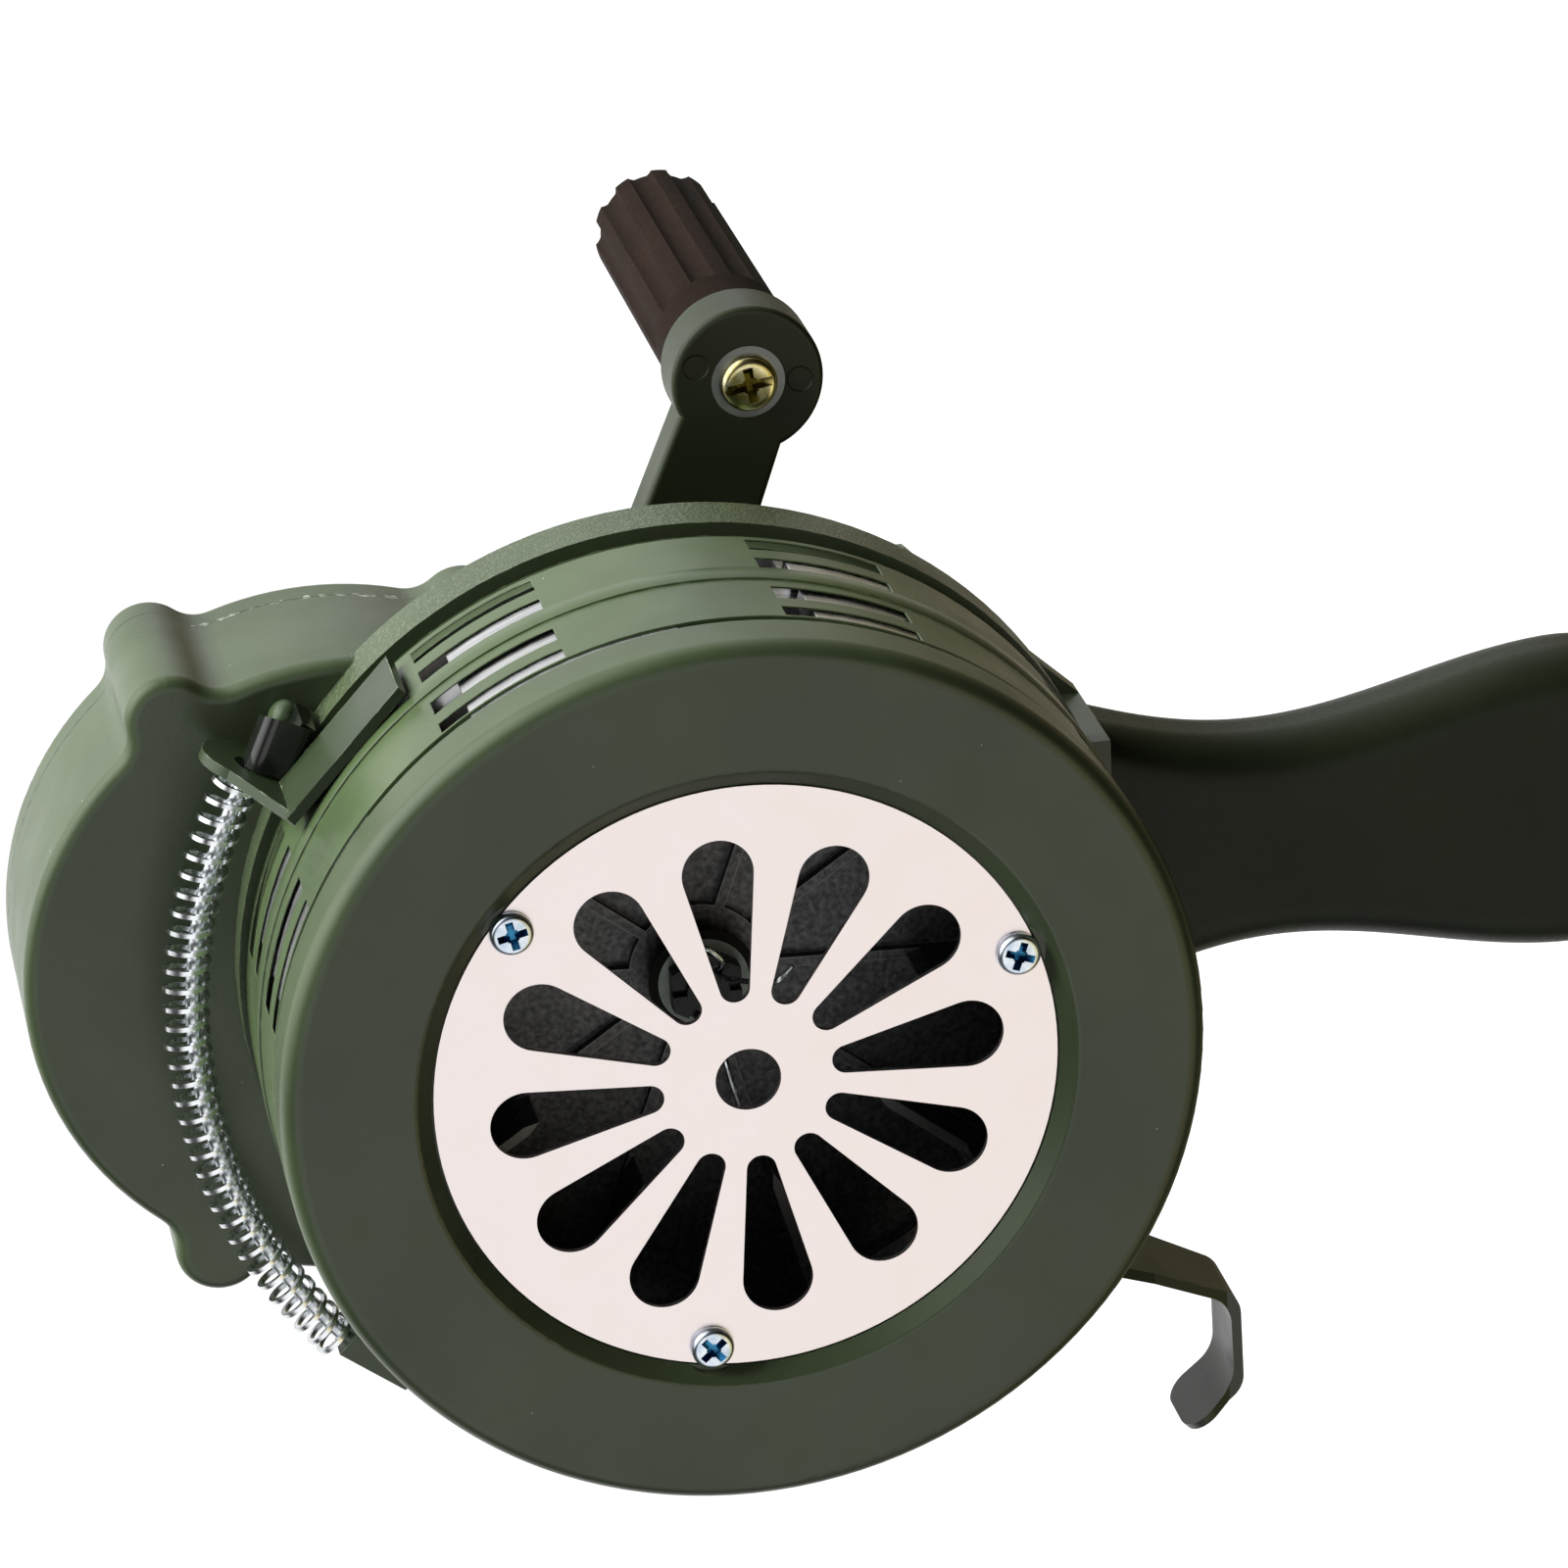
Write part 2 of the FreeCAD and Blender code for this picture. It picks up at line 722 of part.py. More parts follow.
def ring_edge(radius, depth):
    """Picks a full circle about y with this radius at this depth."""
    def wanted(edge):
        curve = edge.Curve
        if not isinstance(curve, Part.Circle) or abs(abs(curve.Axis.y) - 1) > 1e-6:
            return False
        flat = math.hypot(curve.Center.x, curve.Center.z) < 1e-6
        return flat and abs(curve.Radius - radius) < 1e-4 and abs(curve.Center.y - depth) < 1e-4
    return wanted


def edge_at_depth(depth):
    """Picks the edges that lie flat at this depth."""
    def wanted(edge):
        box = edge.BoundBox
        return abs(box.YMin - depth) < 1e-3 and abs(box.YMax - depth) < 1e-3
    return wanted


# ---------------------------------------------------------------- drum: cover, grille, stator, shutter

def front_cover():
    body = new_body("cover")
    plate_back = "plate_front + plate_thick"
    seat_radius = "plate_radius + plate_gap"
    bore = "stator_outer + seat_gap"
    revolve(body, "cover_shell", [
        ("ledge_inner", plate_back), (seat_radius, plate_back), (seat_radius, "plate_front"),
        ("lip_radius", "0"), ("cover_radius", "0"), ("cover_radius", "cover_depth"),
        (bore, "cover_depth"), (bore, "cover_wall"), ("ledge_inner", "cover_wall")])
    fillet(body, "cover_rim", "cover_rim", ring_edge(size("cover_radius"), 0))
    fillet(body, "cover_lip", "lip_round", ring_edge(size("lip_radius"), 0))
    fillet(body, "cover_back_edge", "cover_edge", ring_edge(size("cover_radius"), size("cover_depth")))

    def at_screw(radius):
        return lambda sketch: circle(sketch, radius, "grille_screw_circle")

    boss = pad(body, "screw_boss", at_screw("ledge_boss"), "cover_wall", "ledge_boss_length")
    polar(body, "screw_bosses", boss, "grille_screw_count")
    clearance = pocket(body, "head_pocket", at_screw("head_pocket"), "0", "plate_front")
    polar(body, "head_pockets", clearance, "grille_screw_count")
    hole = pocket(body, "screw_hole", at_screw("grille_screw_shank + run_gap"), "0",
                  "cover_wall + ledge_boss_length")
    polar(body, "screw_holes", hole, "grille_screw_count")
    seat(body, "front_cover", turn="grille_screw_phase")


def grille_plate():
    body = new_body("grille")
    pad(body, "disc", lambda sketch: circle(sketch, "plate_radius"), "plate_front", "plate_thick")
    pocket(body, "centre_hole", lambda sketch: circle(sketch, "plate_hole"), "plate_front", "plate_thick")

    def petal(sketch):
        teardrop(sketch, "slot_inner_centre", "slot_inner_end", "slot_outer_centre", "slot_outer_end")

    slot = pocket(body, "slot", petal, "plate_front", "plate_thick")
    polar(body, "slots", slot, "slot_count")
    lead = "grille_screw_phase - slot_phase"

    def screw_hole(sketch):
        circle(sketch, "grille_screw_shank + seat_gap", "grille_screw_circle * cos(%s)" % lead,
               "grille_screw_circle * sin(%s)" % lead)

    hole = pocket(body, "screw_hole", screw_hole, "plate_front", "plate_thick")
    polar(body, "screw_holes", hole, "grille_screw_count")
    seat(body, "grille_plate", turn="slot_phase")


def screw_y(name, head, rise, shank, length, face, x, z, towards_back):
    """A pan-head screw along y; its head lies on the depth face."""
    head_low = "%s - %s" % (face, rise) if towards_back else face
    shank_low = face if towards_back else "%s - (%s)" % (face, length)
    cap = rod_y(name + "_cap", head, head_low, rise, x, z)
    cap = rounded(name + "_pan", cap, "screw_round", front_rim if towards_back else back_rim)
    stem = rod_y(name + "_stem", shank, shank_low, length, x, z)
    return fuse(name, cap, stem)


def grille_screws():
    screws = []
    for i in range(int(size("grille_screw_count"))):
        angle = "(grille_screw_phase + %d * 360 / grille_screw_count)" % i
        screws.append(screw_y("grille_screw_%d" % i, "grille_screw_head", "grille_screw_rise",
                              "grille_screw_shank", "grille_screw_length", "plate_front",
                              "grille_screw_circle * cos%s" % angle,
                              "grille_screw_circle * sin%s" % angle, True))
    seat(group("grille_screw_set", screws), "grille_screws")


def half_width(radius):
    """Half the width of a drum port measured at a radius."""
    return "%s * sin(port_angle / 2)" % radius


def stator():
    body = new_body("stator_drum")
    revolve(body, "drum", [
        ("stator_inner", "cover_wall"), ("stator_outer", "cover_wall"),
        ("stator_outer", "flange_front"), ("stator_inner", "flange_front")])
    half = half_width("stator_outer")

    def ports(sketch):
        for low, high in (("front_port_low", "front_port_high"), ("back_port_low", "back_port_high")):
            rectangle(sketch, (low, high), ("-" + half, half))

    port = side_pocket(body, "port", ports, "stator_outer + ring_gap")
    polar(body, "ports", port, "port_count")
    place(body, turn="port_phase")
    holes = []
    for i, angle in enumerate(stator_screw_angles()):
        holes.append(rod_y("stator_thread_%d" % i, "stator_screw_shank + fit_gap",
                           "flange_front - stator_screw_grip", "stator_screw_grip",
                           "stator_middle * cos(%s)" % angle, "stator_middle * sin(%s)" % angle))
    seat(cut("stator_wall", body, *holes), "stator")


def stator_screw_angles():
    """Two screws on each side of the drum, below its middle."""
    return ["stator_screw_phase", "-stator_screw_spread", "180 - stator_screw_phase",
            "180 + stator_screw_spread"]


def shutter_ring():
    body = new_body("shutter")
    inner = "stator_outer + ring_gap"
    front = "cover_depth + face_gap"
    step = "cover_depth + face_gap + ring_step_width"
    back = "flange_front - socket_depth - face_gap"
    revolve(body, "band", [
        (inner, front), ("ring_step", front), ("ring_step", step), ("ring_radius", step),
        ("ring_radius", "rib_low"), ("rib_radius", "rib_low"), ("rib_radius", "rib_high"),
        ("ring_radius", "rib_high"), ("ring_radius", back), (inner, back)])
    half = half_width("ring_radius")

    def slits(sketch):
        for letter in "abcd":
            rectangle(sketch, ("slit_%s_low" % letter, "slit_%s_high" % letter), ("-" + half, half))

    window = side_pocket(body, "window", slits, "flange_radius")
    polar(body, "windows", window, "port_count")
    place(body, turn="window_phase")
    across = ("foot_pad_root", "foot_offset")
    along = ("foot_pad_low", "foot_pad_high")
    bracket_pad = block("bracket_pad", across, along, ("-foot_pad_half", "foot_pad_half"),
                        "bracket_phase")
    lever_pad = block("lever_pad", across, along, ("-lever_foot", "0"), "lever_phase")
    seat(fuse("shutter_band", body, bracket_pad, lever_pad), "shutter_ring")


# ---------------------------------------------------------------- shutter: bracket, lever, spring

def spring_bracket():
    """A flat foot on the ring, folded up into a plate whose round pad the guide rod passes."""
    foot = block("bracket_foot", ("foot_offset", "foot_offset + bracket_thick"),
                 ("bracket_low", "bracket_high"), ("-bracket_back", "bracket_bend"), "bracket_phase")
    body = new_body("bracket_plate")
    near_x = "bracket_pad_height + bracket_pad_radius * cos(60)"
    near_y = "bracket_pad_depth - bracket_pad_radius * sin(60)"
    far_x = "bracket_pad_height + bracket_pad_radius * cos(130)"
    far_y = "bracket_pad_depth + bracket_pad_radius * sin(130)"
    neck = sketch_on(body, "neck_outline", "XY_Plane", "-bracket_thick / 2")
    polygon(neck, [("-bracket_thick", "bracket_low"), (near_x, near_y), (far_x, far_y),
                   ("-bracket_thick", "bracket_high")])
    plate = body.newObject("PartDesign::Pad", "neck")
    plate.Profile = neck
    bind(plate, "Length", "bracket_thick")
    doc.recompute()
    for name, kind, radius, height, depth in (
            ("eye", "PartDesign::Pad", "bracket_pad_radius", "bracket_pad_height", "bracket_pad_depth"),
            ("rod_hole", "PartDesign::Pocket", "bracket_hole", "bracket_hole_height", "rod_depth")):
        sketch = sketch_on(body, name + "_outline", "XY_Plane", "-bracket_thick / 2")
        circle(sketch, radius, height, depth)
        feature = body.newObject(kind, name)
        feature.Profile = sketch
        feature.Reversed = kind.endswith("Pocket")
        bind(feature, "Length", "bracket_thick")
        doc.recompute()
    place(body, "fold_x", "0", "fold_z", "plate_lean")
    seat(fuse("bracket", foot, body), "spring_bracket")


def rounded_chain(points, radii):
    """Edges along a chain of points with a round corner at each inner point."""
    edges = []
    last = points[0]
    for before, corner, after, radius in zip(points, points[1:], points[2:], radii):
        arrive = (corner - before).normalize()
        leave = (after - corner).normalize()
        turn = arrive.getAngle(leave)
        reach = radius * math.tan(turn / 2)
        start = corner - arrive * reach
        end = corner + leave * reach
        inward = (leave - arrive).normalize()
        middle = corner + inward * (radius / math.cos(turn / 2) - radius)
        edges.append(Part.makeLine(last, start))
        edges.append(Part.Arc(start, middle, end).toShape())
        last = end
    edges.append(Part.makeLine(last, points[-1]))
    return edges


def strip_face(points, radii, thickness):
    """A strip of even thickness in the x-z plane, bent round its corners."""
    sides = []
    for side in (-thickness / 2, thickness / 2):
        moved = []
        for i, point in enumerate(points):
            arrive = (point - points[max(i - 1, 0)]) if i else points[1] - point
            leave = (points[i + 1] - point) if i + 1 < len(points) else arrive
            arrive, leave = V(arrive).normalize(), V(leave).normalize()
            across = V(arrive.z, 0, -arrive.x) + V(leave.z, 0, -leave.x)
            across.normalize()
            stretch = 1 / math.cos(arrive.getAngle(leave) / 2)
            moved.append(point + across * (side * stretch))
        bends = []
        for before, corner, after, radius in zip(points, points[1:], points[2:], radii):
            turn = (corner - before).cross(after - corner).y
            bends.append(radius - side if turn < 0 else radius + side)
        sides.append((moved, bends))
    (left, left_bends), (right, right_bends) = sides
    edges = rounded_chain(left, left_bends) + [Part.makeLine(left[-1], right[-1])]
    edges += rounded_chain(right, right_bends) + [Part.makeLine(right[0], left[0])]
    return Part.Face(Part.Wire(Part.__sortEdges__(edges)))


def on_circle(radius, angle):
    turn = math.radians(angle)
    return V(radius * math.cos(turn), 0, radius * math.sin(turn))


def trigger_lever():
    """A flat foot on the ring, bent outwards into a tapering lever that ends in a finger hook."""
    middle = size("foot_offset") + size("lever_thick") / 2
    phase = size("lever_phase")
    root = on_circle(middle, phase)
    along_ring = on_circle(1, phase + 90)
    heel = root - along_ring * size("lever_foot")
    knee = root + on_circle(1, size("lever_slope")) * size("lever_reach")
    hook = V(size("hook_x"), 0, size("hook_z"))
    tip = V(size("hook_tip_x"), 0, size("hook_tip_z"))
    tight, wide = size("lever_thick"), size("lever_bend")
    face = drawn("lever_section", strip_face([heel, root, knee, hook, tip], [tight, wide, wide],
                                             size("lever_thick")))
    width = "lever_tip_high - lever_root_low"
    strip = extruded("lever_strip", face, width, "lever_root_low")
    body = new_body("lever_side")
    sketch = sketch_on(body, "side_outline", "YZ_Plane", "hook_tip_x - foot_offset")
    middle_z = "foot_offset * sin(lever_phase)"
    top = "(foot_offset + lever_foot) * sin(lever_phase) + foot_offset"
    bottom = "hook_z - foot_offset"
    polygon(sketch, [
        ("lever_root_low", top), ("lever_root_low", middle_z), ("lever_mid_low", "lever_mid_z"),
        ("lever_tip_low", "hook_z + lever_thick"), ("lever_tip_low", bottom),
        ("lever_tip_high", bottom), ("lever_tip_high", "hook_z + lever_thick"),
        ("lever_mid_high", "lever_mid_z"), ("lever_flare_high", middle_z),
        ("lever_root_high", middle_z + " + lever_thick"), ("lever_root_high", top)])
    side = body.newObject("PartDesign::Pad", "side")
    side.Profile = sketch
    bind(side, "Length", "foot_offset * 2")
    doc.recompute()
    near_ring = common("lever_shape", strip, body)
    hook_strip = extruded("hook_strip", face, "lever_tip_high - lever_tip_low", "lever_tip_low")
    beyond = block("hook_zone", ("hook_tip_x - lever_bend", "hook_x + lever_bend * 2"),
                   ("lever_tip_low", "lever_tip_high"), ("hook_z - lever_bend", "hook_tip_z + lever_bend"))
    hook_part = common("hook_part", hook_strip, beyond)
    whole = fuse("lever_whole", near_ring, hook_part)
    doc.recompute()
    tip_edges = tip_corner_edges(tip, size("lever_thick"))
    seat(rounded("lever", whole, "lever_tip_round", tip_edges), "trigger_lever")


def tip_corner_edges(tip, thickness):
    """Picks the two short edges across the strip's thickness at the hook's tip."""
    def pick(shape):
        found = []
        for i, edge in enumerate(shape.Edges, start=1):
            near = all(math.hypot(v.Point.x - tip.x, v.Point.z - tip.z) < thickness for v in edge.Vertexes)
            if near and abs(edge.Length - thickness) < 0.1 * thickness:
                found.append(i)
        return found
    return pick


def return_spring():
    """An open coil with closed ends that follows the guide rod's arc and leans on its outer side."""
    turns = size("spring_turns")
    steps = int(turns * 8)
    bend = size("rod_bend") + size("spring_shift")
    span = size("spring_high") - size("spring_low")
    closed = math.degrees(size("spring_end_pitch") / bend)
    pitch = (span - 2 * closed) / (turns - 2)

    def laid(turn):
        """The angle along the arc that the wire has covered after some turns."""
        if turn < 1:
            return closed * turn
        if turn > turns - 1:
            return span - closed * (turns - turn)
        return closed + pitch * (turn - 1)

    centre = V(size("rod_centre_x"), size("rod_depth"), size("rod_centre_z"))
    points = []
    for i in range(steps + 1):
        turn = turns * i / steps
        out = on_circle(1, size("spring_low") + laid(turn))
        wind = 2 * math.pi * turn
        coil = out * math.cos(wind) + V(0, math.sin(wind), 0)
        points.append(centre + out * bend + coil * size("spring_radius"))
    curve = Part.BSplineCurve()
    curve.interpolate(points)
    path = Part.Wire([curve.toShape()])
    wire = size("spring_wire")
    start = points[0]
    out = on_circle(1, size("spring_low"))
    ahead = curve.tangent(curve.FirstParameter)[0]
    across = ahead.cross(out).normalize()
    up = across.cross(ahead).normalize()
    corners = [start + across * (a * wire) + up * (b * wire) for a, b in ((1, 1), (-1, 1), (-1, -1), (1, -1))]
    section = Part.makePolygon(corners + corners[:1])
    coil = path.makePipeShell([section], True, True)
    seat(drawn("coil", coil), "return_spring")


def guide_rod():
    rod = arc_rod("rod_bar", "rod_radius", "rod_start", "rod_finish")
    seat(group("rod_seat", [rod]), "guide_rod")


def upper_sleeve():
    """A block square to the bracket's plate, with a slanted far end and the guide rod's near one."""
    sleeve = doc.addObject("Part::Wedge", "upper_sleeve")
    for side, value in (("Xmin", "upper_stop_low"), ("X2min", "upper_stop_low"),
                        ("Xmax", "upper_stop_high"), ("X2max", "upper_stop_high"),
                        ("Ymin", "stop_front"), ("Ymax", "stop_front + upper_stop_deep"),
                        ("Zmin", "-upper_stop_far"), ("Z2min", "upper_stop_slant - upper_stop_far"),
                        ("Zmax", "-upper_stop_near"), ("Z2max", "-upper_stop_near")):
        bind(sleeve, side, value)
    place(sleeve, turn="plate_lean")
    bore = arc_rod("upper_bore", "rod_radius + fit_gap", "rod_start - rod_end_gap", "hole_angle")
    return sleeve, size("plate_lean"), [bore]


def lower_sleeve():
    """A square sleeve along a chord of the rod's arc, with a flat outer face."""
    half_span = "((lower_stop_high - lower_stop_low) / 2)"
    half_chord = "rod_bend * sin%s" % half_span
    sleeve = doc.addObject("Part::Box", "lower_sleeve")
    bind(sleeve, "Length", "stop_size")
    bind(sleeve, "Width", "stop_size")
    bind(sleeve, "Height", half_chord + " * 2")
    # corner of the box: half a sleeve inwards, half a chord back along the rod
    inner = "(rod_bend * cos%s - stop_size / 2)" % half_span
    place(sleeve, "rod_centre_x + %s * cos(lower_middle) + %s * sin(lower_middle)" % (inner, half_chord),
          "stop_front",
          "rod_centre_z + %s * sin(lower_middle) - %s * cos(lower_middle)" % (inner, half_chord),
          "lower_middle")
    bore = arc_rod("lower_bore", "rod_radius + fit_gap", "lower_stop_low - rod_hidden",
                   "rod_finish + rod_end_gap")
    flat = block("lower_flat", ("stop_flat", "stop_flat + stop_size"), ("0", "rod_depth * 2"),
                 ("-stop_size * 2", "stop_size * 2"), "stop_flat_phase")
    return sleeve, size("lower_middle"), [bore, flat]


def spring_stop(name, sleeve, facing, tools, lug_span):
    """Rounds a sleeve on the guide rod and gives it a lug, bolted on its post."""
    doc.recompute()
    ahead = on_circle(1, facing + QUARTER)
    sleeve = rounded(name + "_round", sleeve, "stop_round",
                     lambda shape: [i for i, e in enumerate(shape.Edges, start=1)
                                    if abs(e.tangentAt(e.FirstParameter).dot(ahead)) > 0.99])
    phase, top = name + "_post_phase", name + "_post_top"
    lug = block(name + "_lug", (top, top + " + lug_thick"), ("stop_front + stop_round", "post_depth"),
                lug_span, phase)
    eye = rod_out(name + "_eye", "post_radius", top, "lug_thick", phase, "post_depth")
    hole = rod_out(name + "_hole", "bolt_shank + seat_gap", top + " - lug_thick", "lug_thick * 3", phase,
                   "post_depth")
    seat(cut(name + "_bored", fuse(name + "_solid", sleeve, lug, eye), hole, *tools), "spring_stop_" + name)


def stop_bolts():
    bolts = []
    for name in ("upper", "lower"):
        phase, top = name + "_post_phase", name + "_post_top + lug_thick"
        head = rod_out(name + "_bolt_head", "bolt_head", top, "bolt_rise", phase, "post_depth")
        reach = size(name + "_post_top") + size("lug_thick") + size("bolt_rise")
        far = on_circle(reach, size(phase))

        def outer_rim(shape, far=far):
            return [i for i, e in enumerate(shape.Edges, start=1)
                    if e.Closed and math.hypot(e.CenterOfMass.x - far.x, e.CenterOfMass.z - far.z) < 1e-3]

        head = rounded(name + "_bolt_dome", head, "bolt_round", outer_rim)
        shank = rod_out(name + "_bolt_shank", "bolt_shank", top + " - bolt_length", "bolt_length", phase,
                        "post_depth")
        bolts.append(fuse(name + "_bolt", head, shank))
    seat(group("stop_bolt_set", bolts), "stop_bolts")


# ---------------------------------------------------------------- gearbox castings

def case_face(name, shrink, with_ears):
    """Outline of the gearbox: two lobes round the gears, with ears for the case screws."""
    lobes = [(0, size("idler_axis_z"), size("upper_lobe") - shrink),
             (0, size("crank_axis_z"), size("lower_lobe") - shrink)]
    blend = size("case_blend")
    if with_ears:
        lobes += [(x, z, size("ear_radius")) for x, z in ear_places()]
        blend = size("ear_blend")
    discs = [Part.Face(Part.Wire(Part.Circle(V(x, z, 0), V(0, 0, 1), r).toShape())) for x, z, r in lobes]
    if with_ears:
        half, low = size("ear_x"), size("ear_low_z")
        reach = size("ear_radius")
        bar = [V(-half, low - reach, 0), V(half, low - reach, 0), V(half, low + reach, 0),
               V(-half, low + reach, 0)]
        discs.append(Part.Face(Part.makePolygon(bar + bar[:1])))
    merged = discs[0].fuse(discs[1:]).removeSplitter()
    outline = merged.Faces[0].makeOffset2D(blend).makeOffset2D(-blend)
    outline.rotate(V(), V(1, 0, 0), 90)
    return drawn(name, outline.Faces[0])


def ear_places():
    x = size("ear_x")
    levels = [size("ear_top_z"), size("ear_mid_z"), size("ear_low_z")]
    return [(side * x, z) for z in levels for side in (-1, 1)]


def ear_names():
    return [("%d * ear_x" % side, "ear_%s_z" % level) for level in ("top", "mid", "low") for side in (-1, 1)]


def rear_housing():
    flange = new_body("flange")
    revolve(flange, "flange_ring", [
        ("0", "case_front"), ("flange_well", "case_front"), ("flange_well", "flange_front"),
        ("stator_outer + seat_gap", "flange_front"), ("stator_outer + seat_gap", "socket_front"),
        ("stator_outer + seat_gap + socket_wall", "socket_front"),
        ("stator_outer + seat_gap + socket_wall", "flange_front"), ("flange_radius", "flange_front"),
        ("flange_radius", "flange_back"), ("0", "flange_back")])
    outline = case_face("case_outline", 0, True)
    case = extruded("case_block", outline, "case_split - case_front", "case_front")
    case = rounded("case_rounded", case, "case_edge", front_rim)
    skirt = new_body("skirt")

    def skirt_outline(sketch):
        right = [("skirt_top_x", "skirt_top_z"), ("skirt_top_x", "skirt_corner_z"),
                 ("skirt_knee_x", "skirt_knee_z"), ("gusset_half", "handle_top_z")]
        polygon(sketch, right + [("-" + x, z) for x, z in reversed(right)])

    pad(skirt, "skirt_plate", skirt_outline, "skirt_front", "skirt_back - skirt_front")
    shoe = block("handle_shoe", ("-gusset_half", "gusset_half"), ("case_front", "skirt_back"),
                 ("handle_top_z", "skirt_knee_z"))
    webs = [block("gusset_%s" % side, (x, x + " + gusset_wall"), ("case_front", "skirt_back"),
                  ("skirt_knee_z", "skirt_top_z"))
            for side, x in (("right", "gusset_half - gusset_wall"), ("left", "-gusset_half"))]
    shell = fuse("housing_shell", flange, case, skirt, shoe, *webs)
    inside = extruded("case_inside", case_face("case_inner_outline", size("case_wall"), False),
                      "case_split - case_front", "case_front + case_wall")
    shell = cut("housing_open", shell, inside)
    hub = rod_y("bearing_hub", "hub_radius", "hub_front", "hub_back - hub_front")
    idler_boss = rod_y("idler_front_boss", "idler_boss", "case_front", "hub_back - case_front", "0",
                       "idler_axis_z")
    posts = [rod_out(name + "_post", "post_radius", "post_root", name + "_post_top - post_root",
                     name + "_post_phase", "post_depth") for name in ("upper", "lower")]
    tang = block("handle_tang", ("-tang_half", "tang_half"),
                 ("handle_front + tang_inset", "handle_front + handle_depth - tang_inset"),
                 ("handle_top_z - tang_length", "skirt_knee_z"))
    solid = fuse("housing_solid", shell, hub, idler_boss, tang, *posts)
    tools = [rod_y("bearing_bore", "bearing_outer + fit_gap", "hub_front - 1", "flange_back - hub_front + 1"),
             rod_y("hub_lip_bore", "hub_lip", "case_front", "hub_back - case_front + 1"),
             rod_y("idler_front_seat", "idler_pin_radius + fit_gap", "case_front + idler_pin_seat",
                   "hub_back - case_front", "0", "idler_axis_z")]
    for i, (x, z) in enumerate(ear_names()):
        tools.append(rod_y("ear_thread_%d" % i, "case_screw_shank + fit_gap", "case_split - ear_hole_depth",
                           "ear_hole_depth", x, z))
    for i, angle in enumerate(stator_screw_angles()):
        tools.append(rod_y("stator_hole_%d" % i, "stator_screw_shank + seat_gap", "flange_front",
                           "flange_back - flange_front", "stator_middle * cos(%s)" % angle,
                           "stator_middle * sin(%s)" % angle))
    for name in ("upper", "lower"):
        tools.append(rod_out(name + "_thread", "bolt_shank + fit_gap", name + "_post_top - bolt_length",
                             "bolt_length + 1", name + "_post_phase", "post_depth"))
    tools.append(rod_x("tang_hole", "handle_screw_shank + seat_gap", "-tang_half", "tang_half * 2",
                       "grip_depth", "handle_top_z - handle_screw_high"))
    seat(cut("housing", solid, *tools), "rear_housing")


def gearbox_cover():
    outline = case_face("lid_outline", 0, True)
    lid = extruded("lid_block", outline, "case_back - case_split", "case_split")
    lid = rounded("lid_rounded", lid, "case_edge", back_rim)
    inside = extruded("lid_inside", case_face("lid_inner_outline", size("case_wall"), False),
                      "case_back - case_split - case_wall", "case_split")
    lid = cut("lid_open", lid, inside)
    boss = rod_y("crank_boss", "crank_boss_radius", "crank_boss_front", "crank_boss_back - crank_boss_front",
                 "0", "crank_axis_z")
    idler_boss = rod_y("idler_back_boss", "idler_boss", "idler_back + face_gap",
                       "case_back - idler_back - face_gap - 1", "0", "idler_axis_z")
    solid = fuse("lid_solid", lid, boss, idler_boss)
    tools = [rod_y("crank_bore", "crank_bush_outer + fit_gap", "crank_boss_front - 1",
                   "crank_boss_back - crank_boss_front + 2", "0", "crank_axis_z"),
             rod_y("idler_back_seat", "idler_pin_radius + fit_gap", "idler_back",
                   "case_back - idler_pin_seat - 1 - idler_back", "0", "idler_axis_z")]
    for i, (x, z) in enumerate(ear_names()):
        tools.append(rod_y("lid_hole_%d" % i, "case_screw_shank + seat_gap", "case_split",
                           "lid_depth", x, z))
        tools.append(rod_y("lid_sink_%d" % i, "case_screw_head + face_gap", "case_back - case_screw_sink",
                           "case_screw_sink", x, z))
    seat(cut("lid", solid, *tools), "gearbox_cover")


def gearbox_screws():
    screws = [screw_y("case_screw_%d" % i, "case_screw_head", "case_screw_rise", "case_screw_shank",
                      "lid_depth - case_screw_sink + case_screw_grip", "case_back - case_screw_sink", x, z,
                      False)
              for i, (x, z) in enumerate(ear_names())]
    seat(group("case_screw_set", screws), "gearbox_screws")


def stator_screws():
    screws = [screw_y("stator_screw_%d" % i, "stator_screw_head", "stator_screw_rise", "stator_screw_shank",
                      "flange_back - flange_front + stator_screw_grip", "flange_back",
                      "stator_middle * cos(%s)" % angle, "stator_middle * sin(%s)" % angle, False)
              for i, angle in enumerate(stator_screw_angles())]
    seat(group("stator_screw_set", screws), "stator_screws")


# ---------------------------------------------------------------- bearings, shafts and gears

def sleeve_y(name, label, outer, inner, low, length, z="0"):
    """A plain tube along y."""
    tube = cut(name, rod_y(name + "_outer", outer, low, length, "0", z),
               rod_y(name + "_bore", inner, "%s - 1" % low, "%s + 2" % length, "0", z))
    seat(tube, label)


